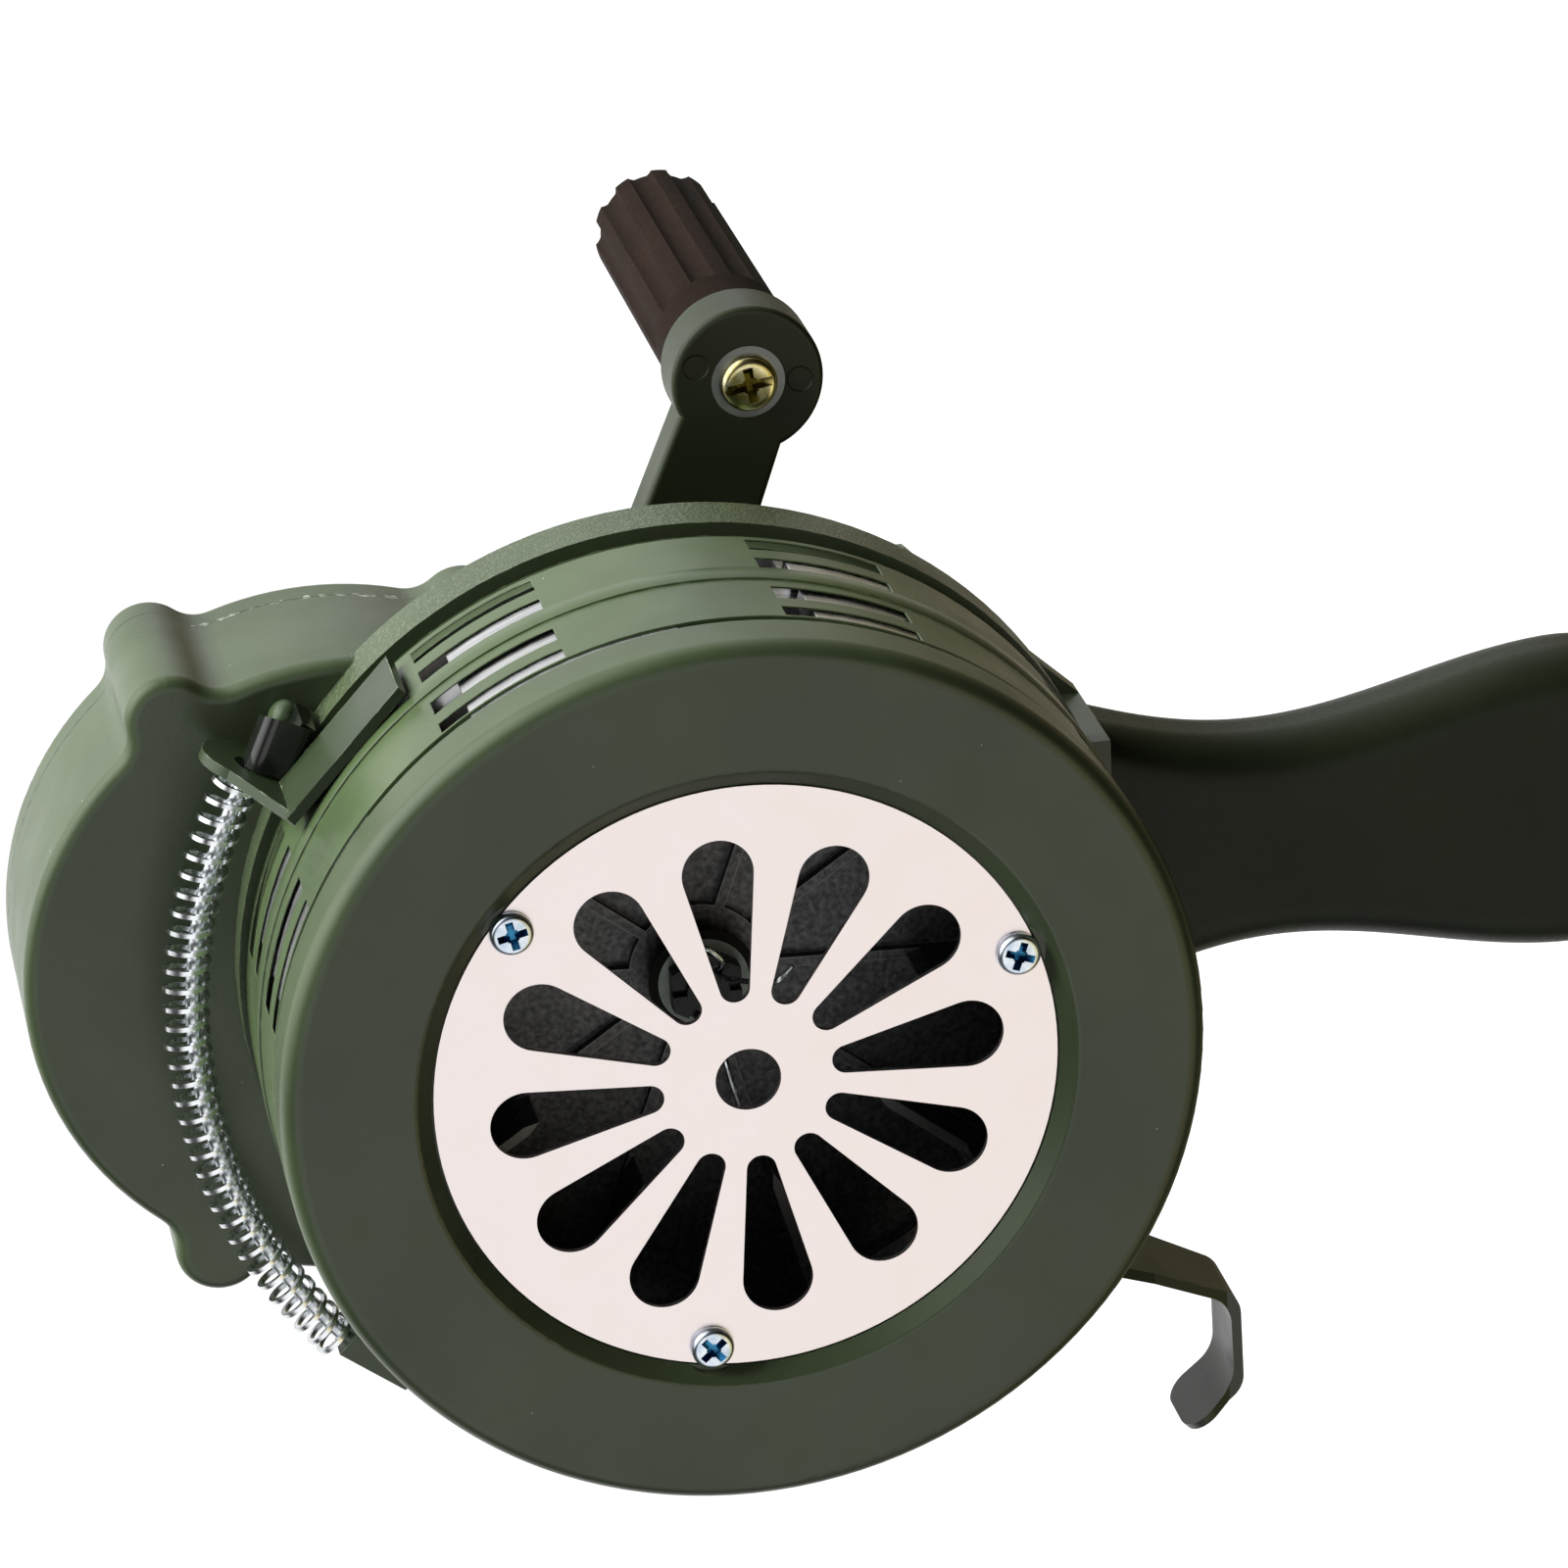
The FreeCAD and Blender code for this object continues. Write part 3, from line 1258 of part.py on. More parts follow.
def bearings_and_bushes():
    sleeve_y("bearing_a", "rotor_bearing_front", "bearing_outer", "rotor_shaft_radius + run_gap",
             "flange_back - bearing_width * 2 - bearing_groove", "bearing_width")
    sleeve_y("bearing_b", "rotor_bearing_rear", "bearing_outer", "rotor_shaft_radius + run_gap",
             "flange_back - bearing_width", "bearing_width")
    sleeve_y("bush_a", "crank_bush_front", "crank_bush_outer", "crank_shaft_radius + run_gap",
             "crank_boss_front", "crank_bush_width", "crank_axis_z")
    sleeve_y("bush_b", "crank_bush_rear", "crank_bush_outer", "crank_shaft_radius + run_gap",
             "crank_boss_back - crank_bush_width", "crank_bush_width", "crank_axis_z")
    pin = rod_y("pin", "idler_pin_radius", "case_front + idler_pin_seat + fit_gap",
                "case_back - case_front - 2 * idler_pin_seat - 1 - 2 * fit_gap", "0", "idler_axis_z")
    seat(group("pin_seat", [pin]), "idler_pin")


def gear_face(name, teeth, addendum, dedendum, first_tooth, x, z):
    """Outline of a spur gear in the x-z plane; first_tooth is the angle of one tooth's middle."""
    module = size("tooth_module")
    pitch = module * teeth / 2
    base = pitch * math.cos(math.radians(size("pressure_angle")))
    half_tooth = (math.pi * module / 2 - size("tooth_backlash") / 2) / 2 / pitch

    def roll(radius):
        lean = math.acos(min(1, base / radius))
        return math.tan(lean) - lean

    def half_angle(radius):
        return half_tooth + roll(pitch) - roll(radius)

    radii = [pitch - dedendum, pitch, pitch + addendum]
    points = []
    for i in range(int(teeth)):
        middle = math.radians(first_tooth) + 2 * math.pi * i / teeth
        flank = [(r, -half_angle(r)) for r in radii] + [(r, half_angle(r)) for r in reversed(radii)]
        for r, lean in flank:
            points.append(V(x + r * math.cos(middle + lean), 0, z + r * math.sin(middle + lean)))
    return drawn(name, Part.Face(Part.makePolygon(points + points[:1])))


def wheel(name, label, teeth, first_tooth, z_name, low, width, hub, bore):
    """A large spur gear with a thin web between its hub and rim."""
    face = gear_face(name + "_teeth", size(teeth), size("wheel_addendum"), size("wheel_dedendum"),
                     first_tooth, 0, size(z_name))
    solid = extruded(name + "_blank", face, width, low)
    rim = "tooth_module * %s / 2 - wheel_dedendum - gear_rim" % teeth
    side = "((%s - gear_web) / 2)" % width
    tools = [rod_y(name + "_bore", bore, "%s - 1" % low, "%s + 2" % width, "0", z_name)]
    for end, start in (("front", "%s - 1" % low), ("back", "%s + %s - %s" % (low, width, side))):
        disc = rod_y("%s_%s_disc" % (name, end), rim, start, side + " + 1", "0", z_name)
        core = rod_y("%s_%s_core" % (name, end), hub, "%s - 2" % low, "%s + 4" % width, "0", z_name)
        tools.append(cut("%s_%s_recess" % (name, end), disc, core))
    seat(cut(name, solid, *tools), label)


def gears():
    wheel("big_wheel", "crank_gear", "crank_teeth", QUARTER, "crank_axis_z", "crank_gear_front",
          "crank_gear_width", "crank_gear_hub", "crank_shaft_radius + fit_gap")
    wheel("second_wheel", "idler_gear", "idler_teeth", -QUARTER, "idler_axis_z", "idler_gear_front",
          "idler_gear_width", "crank_gear_hub", "idler_hub_radius + fit_gap")
    teeth = size("pinion_teeth")
    half_pitch = 180 / teeth
    face = gear_face("idler_pinion_teeth", teeth, size("pinion_addendum"), size("pinion_dedendum"),
                     half_pitch - QUARTER, 0, size("idler_axis_z"))
    low = "(idler_gear_front + idler_gear_width + face_gap)"
    toothed = extruded("idler_pinion_blank", face, "idler_back - " + low, low)
    hub = rod_y("idler_hub", "idler_hub_radius", "hub_back + face_gap", low + " - hub_back - face_gap", "0",
                "idler_axis_z")
    bore = rod_y("idler_bore", "idler_pin_radius + run_gap", "hub_back", "idler_back - hub_back + 1", "0",
                 "idler_axis_z")
    seat(cut("idler_pinion_solid", fuse("idler_pinion_blank_hub", toothed, hub), bore), "idler_pinion")
    face = gear_face("rotor_pinion_teeth", teeth, size("pinion_addendum"), size("pinion_dedendum"),
                     half_pitch + QUARTER, 0, 0)
    blank = extruded("rotor_pinion_blank", face, "pinion_width", "pinion_front")
    bore = rod_y("rotor_pinion_bore", "rotor_shaft_radius + fit_gap", "pinion_front - 1", "pinion_width + 2")
    seat(cut("rotor_pinion_solid", blank, bore), "rotor_pinion")


def rotor_parts():
    front, back = "rotor_shaft_front", "rotor_shaft_back"
    pin_depth = "rotor_shaft_front + pin_setback"
    nut_low = "rotor_cup_floor - hub_washer_thick - rotor_nut_thick"
    shaft = rod_y("rotor_spindle", "rotor_shaft_radius", front, "%s - %s" % (back, front))
    cross_hole = rod_out("pin_hole", "pin_wire + fit_gap", "-rotor_shaft_radius - 1",
                         "rotor_shaft_radius * 2 + 2", "90", pin_depth)
    seat(cut("rotor_shaft_drilled", shaft, cross_hole), "rotor_shaft")
    pin = rod_out("pin_bar", "pin_wire", "-pin_reach", "pin_reach * 2", "90", pin_depth)
    seat(group("pin_bar_seat", [pin]), "split_pin")
    sleeve_y("washer", "hub_washer", "hub_washer_radius", "rotor_shaft_radius + seat_gap",
             "rotor_cup_floor - hub_washer_thick", "hub_washer_thick")
    nut = hex_nut("rotor_hex", "rotor_nut_flats", "rotor_nut_thick", nut_low, "rotor_shaft_radius + fit_gap",
                  "0")
    half_slot = "pin_wire + seat_gap"
    slots = [block("nut_slot_%d" % angle, ("-rotor_nut_flats", "rotor_nut_flats"),
                   (nut_low + " - 1", "%s + pin_wire + seat_gap" % pin_depth),
                   ("-(%s)" % half_slot, half_slot), str(angle)) for angle in (30, 90, 150)]
    seat(cut("castle_nut", nut, *slots), "impeller_nut")


def hex_nut(name, flats, thick, low, bore, z):
    """A hexagon nut along y with two corners level with its axis."""
    prism = doc.addObject("Part::Prism", name + "_prism")
    prism.Polygon = 6
    bind(prism, "Circumradius", "%s / 2 / cos(30)" % flats)
    bind(prism, "Height", thick)
    prism.Placement = FreeCAD.Placement(V(), FreeCAD.Rotation(V(1, 0, 0), -90))
    place(prism, "0", low, z)
    hole = rod_y(name + "_bore", bore, "%s - 1" % low, "%s + 2" % thick, "0", z)
    return cut(name, prism, hole)


def impeller():
    """A drum with a ring of ports, carried on radial blades by a cupped hub and a back plate."""
    body = new_body("rotor")
    outer = "stator_inner - rotor_gap"
    inner = "stator_inner - rotor_gap - rotor_wall"
    bore = "rotor_shaft_radius + fit_gap"
    web = "rotor_back - rotor_web"
    revolve(body, "rotor_shell", [
        (bore, "rotor_cup_floor"), ("rotor_cup_radius", "rotor_cup_floor"),
        ("rotor_cup_radius", "rotor_hub_front"), ("rotor_hub_radius", "rotor_hub_front"),
        ("rotor_hub_radius", web), (inner, web), (inner, "rotor_front"), (outer, "rotor_front"),
        (outer, "rotor_back"), (bore, "rotor_back")])
    half_step = "(180 / blade_count)"
    half = "blade_thick / 2"

    def blade(low):
        def draw(sketch):
            reach = inner + " + rotor_wall / 2"
            polygon(sketch, [
                ("(%s) * cos%s - (%s) * sin%s" % (r, half_step, t, half_step),
                 "(%s) * sin%s + (%s) * cos%s" % (r, half_step, t, half_step))
                for r, t in ((low, "-" + half), (reach, "-" + half), (reach, half), (low, half))])
        return draw

    outer_blade = pad(body, "blade_tip", blade("blade_step_radius"), "rotor_front",
                      web + " - rotor_front")
    polar(body, "blade_tips", outer_blade, "blade_count")
    inner_blade = pad(body, "blade_root", blade("(rotor_cup_radius + rotor_hub_radius) / 2"), "blade_front",
                      web + " - blade_front")
    polar(body, "blade_roots", inner_blade, "blade_count")
    width = "stator_outer * sin(port_angle / 2)"

    def ports(sketch):
        for low, high in (("front_port_low", "front_port_high"), ("back_port_low", "rotor_port_back")):
            rectangle(sketch, (low, high), ("-" + width, width))

    port = side_pocket(body, "rotor_port", ports, "stator_outer")
    polar(body, "rotor_ports", port, "blade_count")
    seat(body, "impeller", turn="blade_phase - 180 / blade_count + 360")


# ---------------------------------------------------------------- crank

def crank_parts():
    low = "crank_gear_front"
    shaft = rod_y("crank_spindle", "crank_shaft_radius", low, "arm_front + arm_boss_thick - %s" % low, "0",
                  "crank_axis_z")
    stud = rod_y("crank_thread", "crank_stud", "arm_front", "arm_boss_thick + crank_nut_thick + 2", "0",
                 "crank_axis_z")
    collar = rod_y("crank_collar", "crank_gear_hub", "crank_gear_front + crank_gear_width",
                   "crank_boss_front - face_gap - crank_gear_front - crank_gear_width", "0", "crank_axis_z")
    seat(fuse("crank_shaft_solid", shaft, stud, collar), "crank_shaft")
    nut = hex_nut("crank_hex", "crank_nut_flats", "crank_nut_thick", "arm_front + arm_boss_thick",
                  "crank_stud + fit_gap", "crank_axis_z")
    seat(nut, "crank_nut")
    body = new_body("arm")

    def bar(sketch):
        polygon(sketch, [("0", "-arm_hub_half"), ("crank_radius", "-arm_tip_half"),
                         ("crank_radius", "arm_tip_half"), ("0", "arm_hub_half")])

    pad(body, "arm_bar", bar, "arm_front", "arm_thick")
    pad(body, "arm_boss", lambda s: circle(s, "arm_boss_radius", "crank_radius"), "arm_front",
        "arm_boss_thick")
    pad(body, "arm_hub", lambda s: circle(s, "arm_hub_radius"), "arm_front", "arm_boss_thick")
    fillet(body, "arm_front_edge", "arm_edge", edge_at_depth(size("arm_front")))
    pocket(body, "shaft_hole", lambda s: circle(s, "crank_shaft_radius + fit_gap"), "arm_front",
           "arm_boss_thick")
    pocket(body, "screw_hole", lambda s: circle(s, "grip_screw_shank + seat_gap", "crank_radius"),
           "arm_front", "arm_boss_thick")
    pocket(body, "washer_seat", lambda s: circle(s, "washer_radius + seat_gap", "crank_radius"),
           "arm_front", "washer_sink")
    seat(body, "crank_arm", z="crank_axis_z", turn="crank_angle")


def at_grip():
    return "crank_radius * cos(crank_angle)", "crank_axis_z + crank_radius * sin(crank_angle)"


def grip_parts():
    x, z = at_grip()
    washer_back = "arm_front + washer_sink"
    washer = rod_y("grip_washer_disc", "washer_radius", washer_back + " - washer_thick", "washer_thick", x, z)
    hole = rod_y("grip_washer_hole", "grip_screw_shank + seat_gap", "arm_front - washer_thick - 1",
                 "washer_thick * 3", x, z)
    seat(cut("grip_washer_ring", washer, hole), "grip_washer")
    seat(screw_y("grip_bolt", "grip_screw_head", "grip_screw_rise", "grip_screw_shank", "grip_screw_length",
                 washer_back + " - washer_thick", x, z, True), "grip_screw")
    low = "arm_front + arm_boss_thick"
    end = low + " + face_gap + grip_length - grip_cap_thick"
    head_low = end + " - face_gap - spindle_head_thick"
    spindle = rod_y("spindle_bar", "spindle_radius", low, "%s - (%s)" % (head_low, low), x, z)
    head = rod_y("spindle_end", "spindle_head", head_low, "spindle_head_thick", x, z)
    thread = rod_y("spindle_thread", "grip_screw_shank + fit_gap", low + " - 1", "grip_screw_length", x, z)
    seat(cut("spindle_solid", fuse("spindle_blank", spindle, head), thread), "grip_spindle")
    body = new_body("grip_tube")
    start = low + " + face_gap"
    collar_end = start + " + grip_collar"
    recess = head_low + " - face_gap"
    finish = start + " + grip_length - grip_cap_thick"
    revolve(body, "grip_barrel", [
        ("spindle_radius + run_gap", start), ("grip_neck", start), ("grip_radius", collar_end),
        ("grip_radius", finish), ("spindle_head + face_gap", finish), ("spindle_head + face_gap", recess),
        ("spindle_radius + run_gap", recess)])
    flute = pocket(body, "flute", lambda s: circle(s, "flute_radius",
                                                   "grip_radius - flute_depth + flute_radius"),
                   collar_end, "grip_length")
    polar(body, "flutes", flute, "flute_count")
    seat(body, "crank_grip", x, z, "crank_angle")
    cap = rod_y("grip_cap", "grip_radius - flute_depth", finish, "grip_cap_thick", x, z)
    seat(rounded("grip_cap_rounded", cap, "grip_chamfer", back_rim), "grip_end_cap")


# ---------------------------------------------------------------- pistol grip

def half_section(sketch, station, side):
    """Half of a rounded rectangle, flat on the joint between the two grip halves."""
    cells = ["handle_%s_%s" % (station, key) for key in ("half", "depth", "corner")]
    half_name, depth_name, corner_name = cells
    half, depth, corner = [size(cell) for cell in cells]
    sign = "%d * " % side
    flat = sign + "(%s - %s)" % (half_name, corner_name)
    back, front = "%s / 2" % depth_name, "-%s / 2" % depth_name
    places = [("0", front), (flat, front), (sign + half_name, "%s + %s" % (front, corner_name)),
              (sign + half_name, "%s - %s" % (back, corner_name)), (flat, back), ("0", back)]
    x1, x2, y1, y2 = side * (half - corner), side * half, depth / 2 - corner, depth / 2
    points = [V(0, -y2, 0), V(x1, -y2, 0), V(x2, -y1, 0), V(x2, y1, 0), V(x1, y2, 0), V(0, y2, 0)]
    bulge = corner * math.sin(math.radians(45))
    lines = [sketch.addGeometry(Part.LineSegment(points[a], points[b]))
             for a, b in ((0, 1), (2, 3), (4, 5), (5, 0))]
    arcs = []
    for a, b, sign_y in ((1, 2, -1), (3, 4, 1)):
        middle = V(x1 + side * bulge, sign_y * (y1 + bulge), 0)
        arcs.append(sketch.addGeometry(Part.Arc(points[a], middle, points[b])))
    for line, position, (x, y) in ((0, 1, places[0]), (0, 2, places[1]), (1, 1, places[2]), (1, 2, places[3]),
                                   (2, 1, places[4]), (2, 2, places[5])):
        fix_point(sketch, lines[line], position, x, y)
    joins = [(lines[2], 2, lines[3], 1), (lines[3], 2, lines[0], 1)]
    for arc, before, after in ((arcs[0], lines[0], lines[1]), (arcs[1], lines[1], lines[2])):
        reach = sketch.getPoint(arc, 1).distanceToPoint(sketch.getPoint(before, 2))
        ends = (1, 2) if reach < 1e-6 else (2, 1)
        joins += [(before, 2, arc, ends[0]), (arc, ends[1], after, 1)]
    for join in joins:
        sketch.addConstraint(Sketcher.Constraint("Coincident", *join))
    for arc in arcs:
        index = sketch.addConstraint(Sketcher.Constraint("Radius", arc, corner))
        bind(sketch, "Constraints[%d]" % index, corner_name)


def handle_half(label, side):
    body = new_body("grip_shell_" + label)
    sections = []
    for station in HANDLE_STATIONS:
        sketch = sketch_on(body, "%s_%s" % (station, label), "XY_Plane",
                           "handle_top_z - handle_%s_drop" % station)
        half_section(sketch, station, side)
        sections.append(sketch)
    doc.recompute()
    loft = body.newObject("PartDesign::AdditiveLoft", "grip_loft_" + label)
    loft.Profile = sections[0]
    loft.Sections = sections[1:]
    doc.recompute()
    place(body, y="handle_front + handle_depth / 2")
    tang = block("tang_pocket_" + label, ("-tang_half - seat_gap", "tang_half + seat_gap"),
                 ("handle_front + tang_inset - seat_gap",
                  "handle_front + handle_depth - tang_inset + seat_gap"),
                 ("handle_top_z - tang_length - seat_gap", "handle_top_z + 1"))
    tools = [tang]
    for name, drop in handle_screw_places():
        height = "handle_top_z - " + drop
        if side > 0:
            tools.append(rod_x("thread_%s" % name, "handle_screw_shank + fit_gap", "-1",
                               "tang_half + handle_screw_shank + 1", "grip_depth", height))
        else:
            tools.append(rod_x("clear_%s" % name, "handle_screw_shank + seat_gap", "-gusset_half * 2",
                               "gusset_half * 2 + 1", "grip_depth", height))
            tools.append(rod_x("sink_%s" % name, "handle_screw_head + face_gap", "-gusset_half * 2",
                               "gusset_half * 2 - tang_half - handle_screw_sink", "grip_depth", height))
    seat(cut("grip_half_" + label, body, *tools), "handle_half_" + label)


def handle_screw_places():
    return (("high", "handle_screw_high"), ("low", "handle_screw_low"))


def handle_screws():
    screws = []
    for name, drop in handle_screw_places():
        height = "handle_top_z - " + drop
        seat_x = "-tang_half - handle_screw_sink"
        head = rod_x("grip_screw_cap_" + name, "handle_screw_head", seat_x + " - handle_screw_rise",
                     "handle_screw_rise", "grip_depth", height)
        shank = rod_x("grip_screw_stem_" + name, "handle_screw_shank", seat_x,
                      "tang_half * 2 + handle_screw_sink", "grip_depth", height)
        screws.append(fuse("grip_half_screw_" + name, head, shank))
    seat(group("handle_screw_set", screws), "handle_screws")


# ---------------------------------------------------------------- build and write

front_cover()
grille_plate()
grille_screws()
stator()
shutter_ring()
spring_bracket()
trigger_lever()
return_spring()
guide_rod()
spring_stop("upper", *upper_sleeve(), ("-post_radius", "upper_lug_reach"))
spring_stop("lower", *lower_sleeve(), ("-lower_lug_reach", "post_radius"))
stop_bolts()
rear_housing()
gearbox_cover()
gearbox_screws()
stator_screws()
bearings_and_bushes()
gears()
rotor_parts()
impeller()
crank_parts()
grip_parts()
handle_half("left", -1)
handle_half("right", 1)
handle_screws()
doc.recompute()

for obj in doc.Objects:
    if "Invalid" in obj.State or "Error" in obj.State:
        raise RuntimeError("%s is in state %s" % (obj.Name, obj.State))
os.makedirs("parts", exist_ok=True)
for label, obj in finished.items():
    shape = obj.Shape
    if shape.isNull() or not shape.isValid() or shape.Volume <= 0:
        raise RuntimeError(label + " has no valid solid")
    shape.exportStep("parts/%s.step" % label)
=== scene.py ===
"""Dressed scene of the hand crank siren: the finish of every piece, small hardware, light and camera."""

import json
import math

import bmesh
import bpy
from mathutils import Matrix, Vector

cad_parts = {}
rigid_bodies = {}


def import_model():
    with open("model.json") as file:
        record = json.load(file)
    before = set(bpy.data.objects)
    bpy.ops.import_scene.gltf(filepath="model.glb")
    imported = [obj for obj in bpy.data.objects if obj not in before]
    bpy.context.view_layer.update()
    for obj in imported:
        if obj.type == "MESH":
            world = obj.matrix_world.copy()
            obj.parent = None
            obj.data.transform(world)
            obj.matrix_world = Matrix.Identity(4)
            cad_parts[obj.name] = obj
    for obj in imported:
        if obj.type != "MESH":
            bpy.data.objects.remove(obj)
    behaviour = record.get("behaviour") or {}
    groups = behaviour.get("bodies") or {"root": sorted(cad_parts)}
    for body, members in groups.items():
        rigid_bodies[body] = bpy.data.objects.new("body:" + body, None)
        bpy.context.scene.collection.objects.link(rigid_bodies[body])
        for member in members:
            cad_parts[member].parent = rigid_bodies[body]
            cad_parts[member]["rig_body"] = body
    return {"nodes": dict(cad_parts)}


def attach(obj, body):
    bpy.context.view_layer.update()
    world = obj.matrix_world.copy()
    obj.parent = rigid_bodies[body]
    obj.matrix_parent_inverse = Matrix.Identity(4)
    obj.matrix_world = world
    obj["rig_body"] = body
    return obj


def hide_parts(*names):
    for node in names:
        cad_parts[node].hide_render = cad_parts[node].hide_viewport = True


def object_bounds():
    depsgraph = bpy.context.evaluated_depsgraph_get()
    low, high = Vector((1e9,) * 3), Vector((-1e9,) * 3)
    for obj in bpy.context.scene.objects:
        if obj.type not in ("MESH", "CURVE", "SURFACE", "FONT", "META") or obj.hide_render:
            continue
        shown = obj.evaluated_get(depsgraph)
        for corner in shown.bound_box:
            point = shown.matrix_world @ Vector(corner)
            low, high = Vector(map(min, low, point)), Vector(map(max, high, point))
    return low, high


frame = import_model()
cad_low, cad_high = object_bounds()

# Sizes are in mm. Depths are measured back from the drum's front face, x and z from the drum's axis.
MM = 0.001
DRUM_FACE = -84.0        # y of the drum's front face
DRUM_AXIS = 148.0        # height of the drum's axis
DRUM_MIDDLE = 50.0       # depth that the lamps face
FLANGE_MIDDLE = 68.5     # depth of the middle of the rear flange
FLANGE_HALF = 5.8        # half its thickness, with a little to spare
FLANGE_RADIUS = 84.5
LID_JOINT = 105.0        # depth of the joint between the gear case and its lid
LID_CHIPS_X = (60, 50)   # where the joint is chipped: middle and reach
LID_CHIPS_Z = (58, 26)
HUB_BEHIND = 41.0        # depth just behind the lip of the rotor's hub; forward faces ahead of it get a painted highlight
SEAL_NYLON = 8.6         # radius of the nylon ring on the hub's washer; beyond it the washer is painted shade
CRANK_TURN = math.radians(337.7)
CRANK_AXIS = 10.5        # z of the crank's axis
CRANK_REACH = 98.7       # from the crank's axis to the knob's
KNOB = (CRANK_REACH * math.cos(CRANK_TURN), CRANK_AXIS + CRANK_REACH * math.sin(CRANK_TURN))
EJECTOR_MARKS = ((4.0, 10.0), (-0.6, -10.0))    # places on the arm's boss, from the knob's axis
EJECTOR_RADIUS = 2.45
PORT_COUNT = 8
PORT_ANGLE = 17.5        # width of a port, degrees
PORT_PHASE = 40.2        # middle of the drum's first port
WINDOW_PHASE = 26.7      # middle of the shutter's first window


def drum_point(x, depth, z):
    """A point given in mm from the drum's axis and front face, in the frame's metres."""
    return Vector((x, depth + DRUM_FACE, z + DRUM_AXIS)) * MM


def on_drum(radius, phase, depth):
    """A point on a circle round the drum's axis; the phase starts at +x and rises towards +z."""
    angle = math.radians(phase)
    return drum_point(radius * math.cos(angle), depth, radius * math.sin(angle))


# ---------------------------------------------------------------- colour and node helpers

def linear(code):
    """An sRGB hex colour as linear RGBA."""
    channels = [int(code[i:i + 2], 16) / 255 for i in (1, 3, 5)]
    return [c / 12.92 if c <= 0.04045 else ((c + 0.055) / 1.055) ** 2.4 for c in channels] + [1.0]


def per_metre(size_mm):
    """The texture scale at which one cell of a pattern is size_mm wide."""
    return 1 / (size_mm * MM)


def add(tree, kind, sockets, output=0, **fields):
    """Add a node and return one of its outputs; a socket takes a hex colour, a value or an output."""
    node = tree.nodes.new(kind)
    for field, value in fields.items():
        setattr(node, field, value)
    feed(tree, node, sockets)
    return node.outputs[output]


def feed(tree, node, sockets):
    """Set or link a node's inputs."""
    for key, value in sockets.items():
        if isinstance(value, bpy.types.NodeSocket):
            tree.links.new(value, node.inputs[key])
        else:
            node.inputs[key].default_value = linear(value) if isinstance(value, str) else value


def new_finish(name):
    """A material with its node tree, its shader and the piece's own coordinates."""
    material = bpy.data.materials.new(name)
    material.use_nodes = True
    tree = material.node_tree
    place = add(tree, "ShaderNodeTexCoord", {}, "Object")
    return material, tree, tree.nodes["Principled BSDF"], place


def specks(tree, place, spacing_mm, radius_mm, share):
    """Mask of small round specks that fall on a share of cells spacing_mm wide."""
    cells = {"Vector": place, "Scale": per_metre(spacing_mm)}
    distance = add(tree, "ShaderNodeTexVoronoi", cells, "Distance")
    reach = radius_mm / spacing_mm
    dot = add(tree, "ShaderNodeMapRange", {"Value": distance, "From Min": reach * 0.6, "From Max": reach,
                                           "To Min": 1.0, "To Max": 0.0})
    colour = add(tree, "ShaderNodeTexVoronoi", cells, "Color")
    pick = add(tree, "ShaderNodeSeparateColor", {"Color": colour}, "Red")
    chosen = add(tree, "ShaderNodeMath", {0: pick, 1: share}, operation="LESS_THAN")
    return add(tree, "ShaderNodeMath", {0: dot, 1: chosen}, operation="MULTIPLY")


def edge_mask(tree, radius_mm):
    """Mask that is 1 on sharp edges, from the bend of the surface within radius_mm."""
    soft = add(tree, "ShaderNodeBevel", {"Radius": radius_mm * MM}, samples=4)
    flat = add(tree, "ShaderNodeNewGeometry", {}, "Normal")
    bend = add(tree, "ShaderNodeVectorMath", {0: soft, 1: flat}, "Value", operation="DOT_PRODUCT")
    return add(tree, "ShaderNodeMapRange", {"Value": bend, "From Min": 0.72, "From Max": 0.97,
                                            "To Min": 1.0, "To Max": 0.0})


def axis_distance(tree, place):
    """Distance of a point from the drum's axis."""
    off = add(tree, "ShaderNodeVectorMath", {0: place, 1: (0, 0, -DRUM_AXIS * MM)})
    flat = add(tree, "ShaderNodeVectorMath", {0: off, 1: (1, 0, 1)}, operation="MULTIPLY")
    return add(tree, "ShaderNodeVectorMath", {0: flat}, "Value", operation="LENGTH")


# ---------------------------------------------------------------- finishes

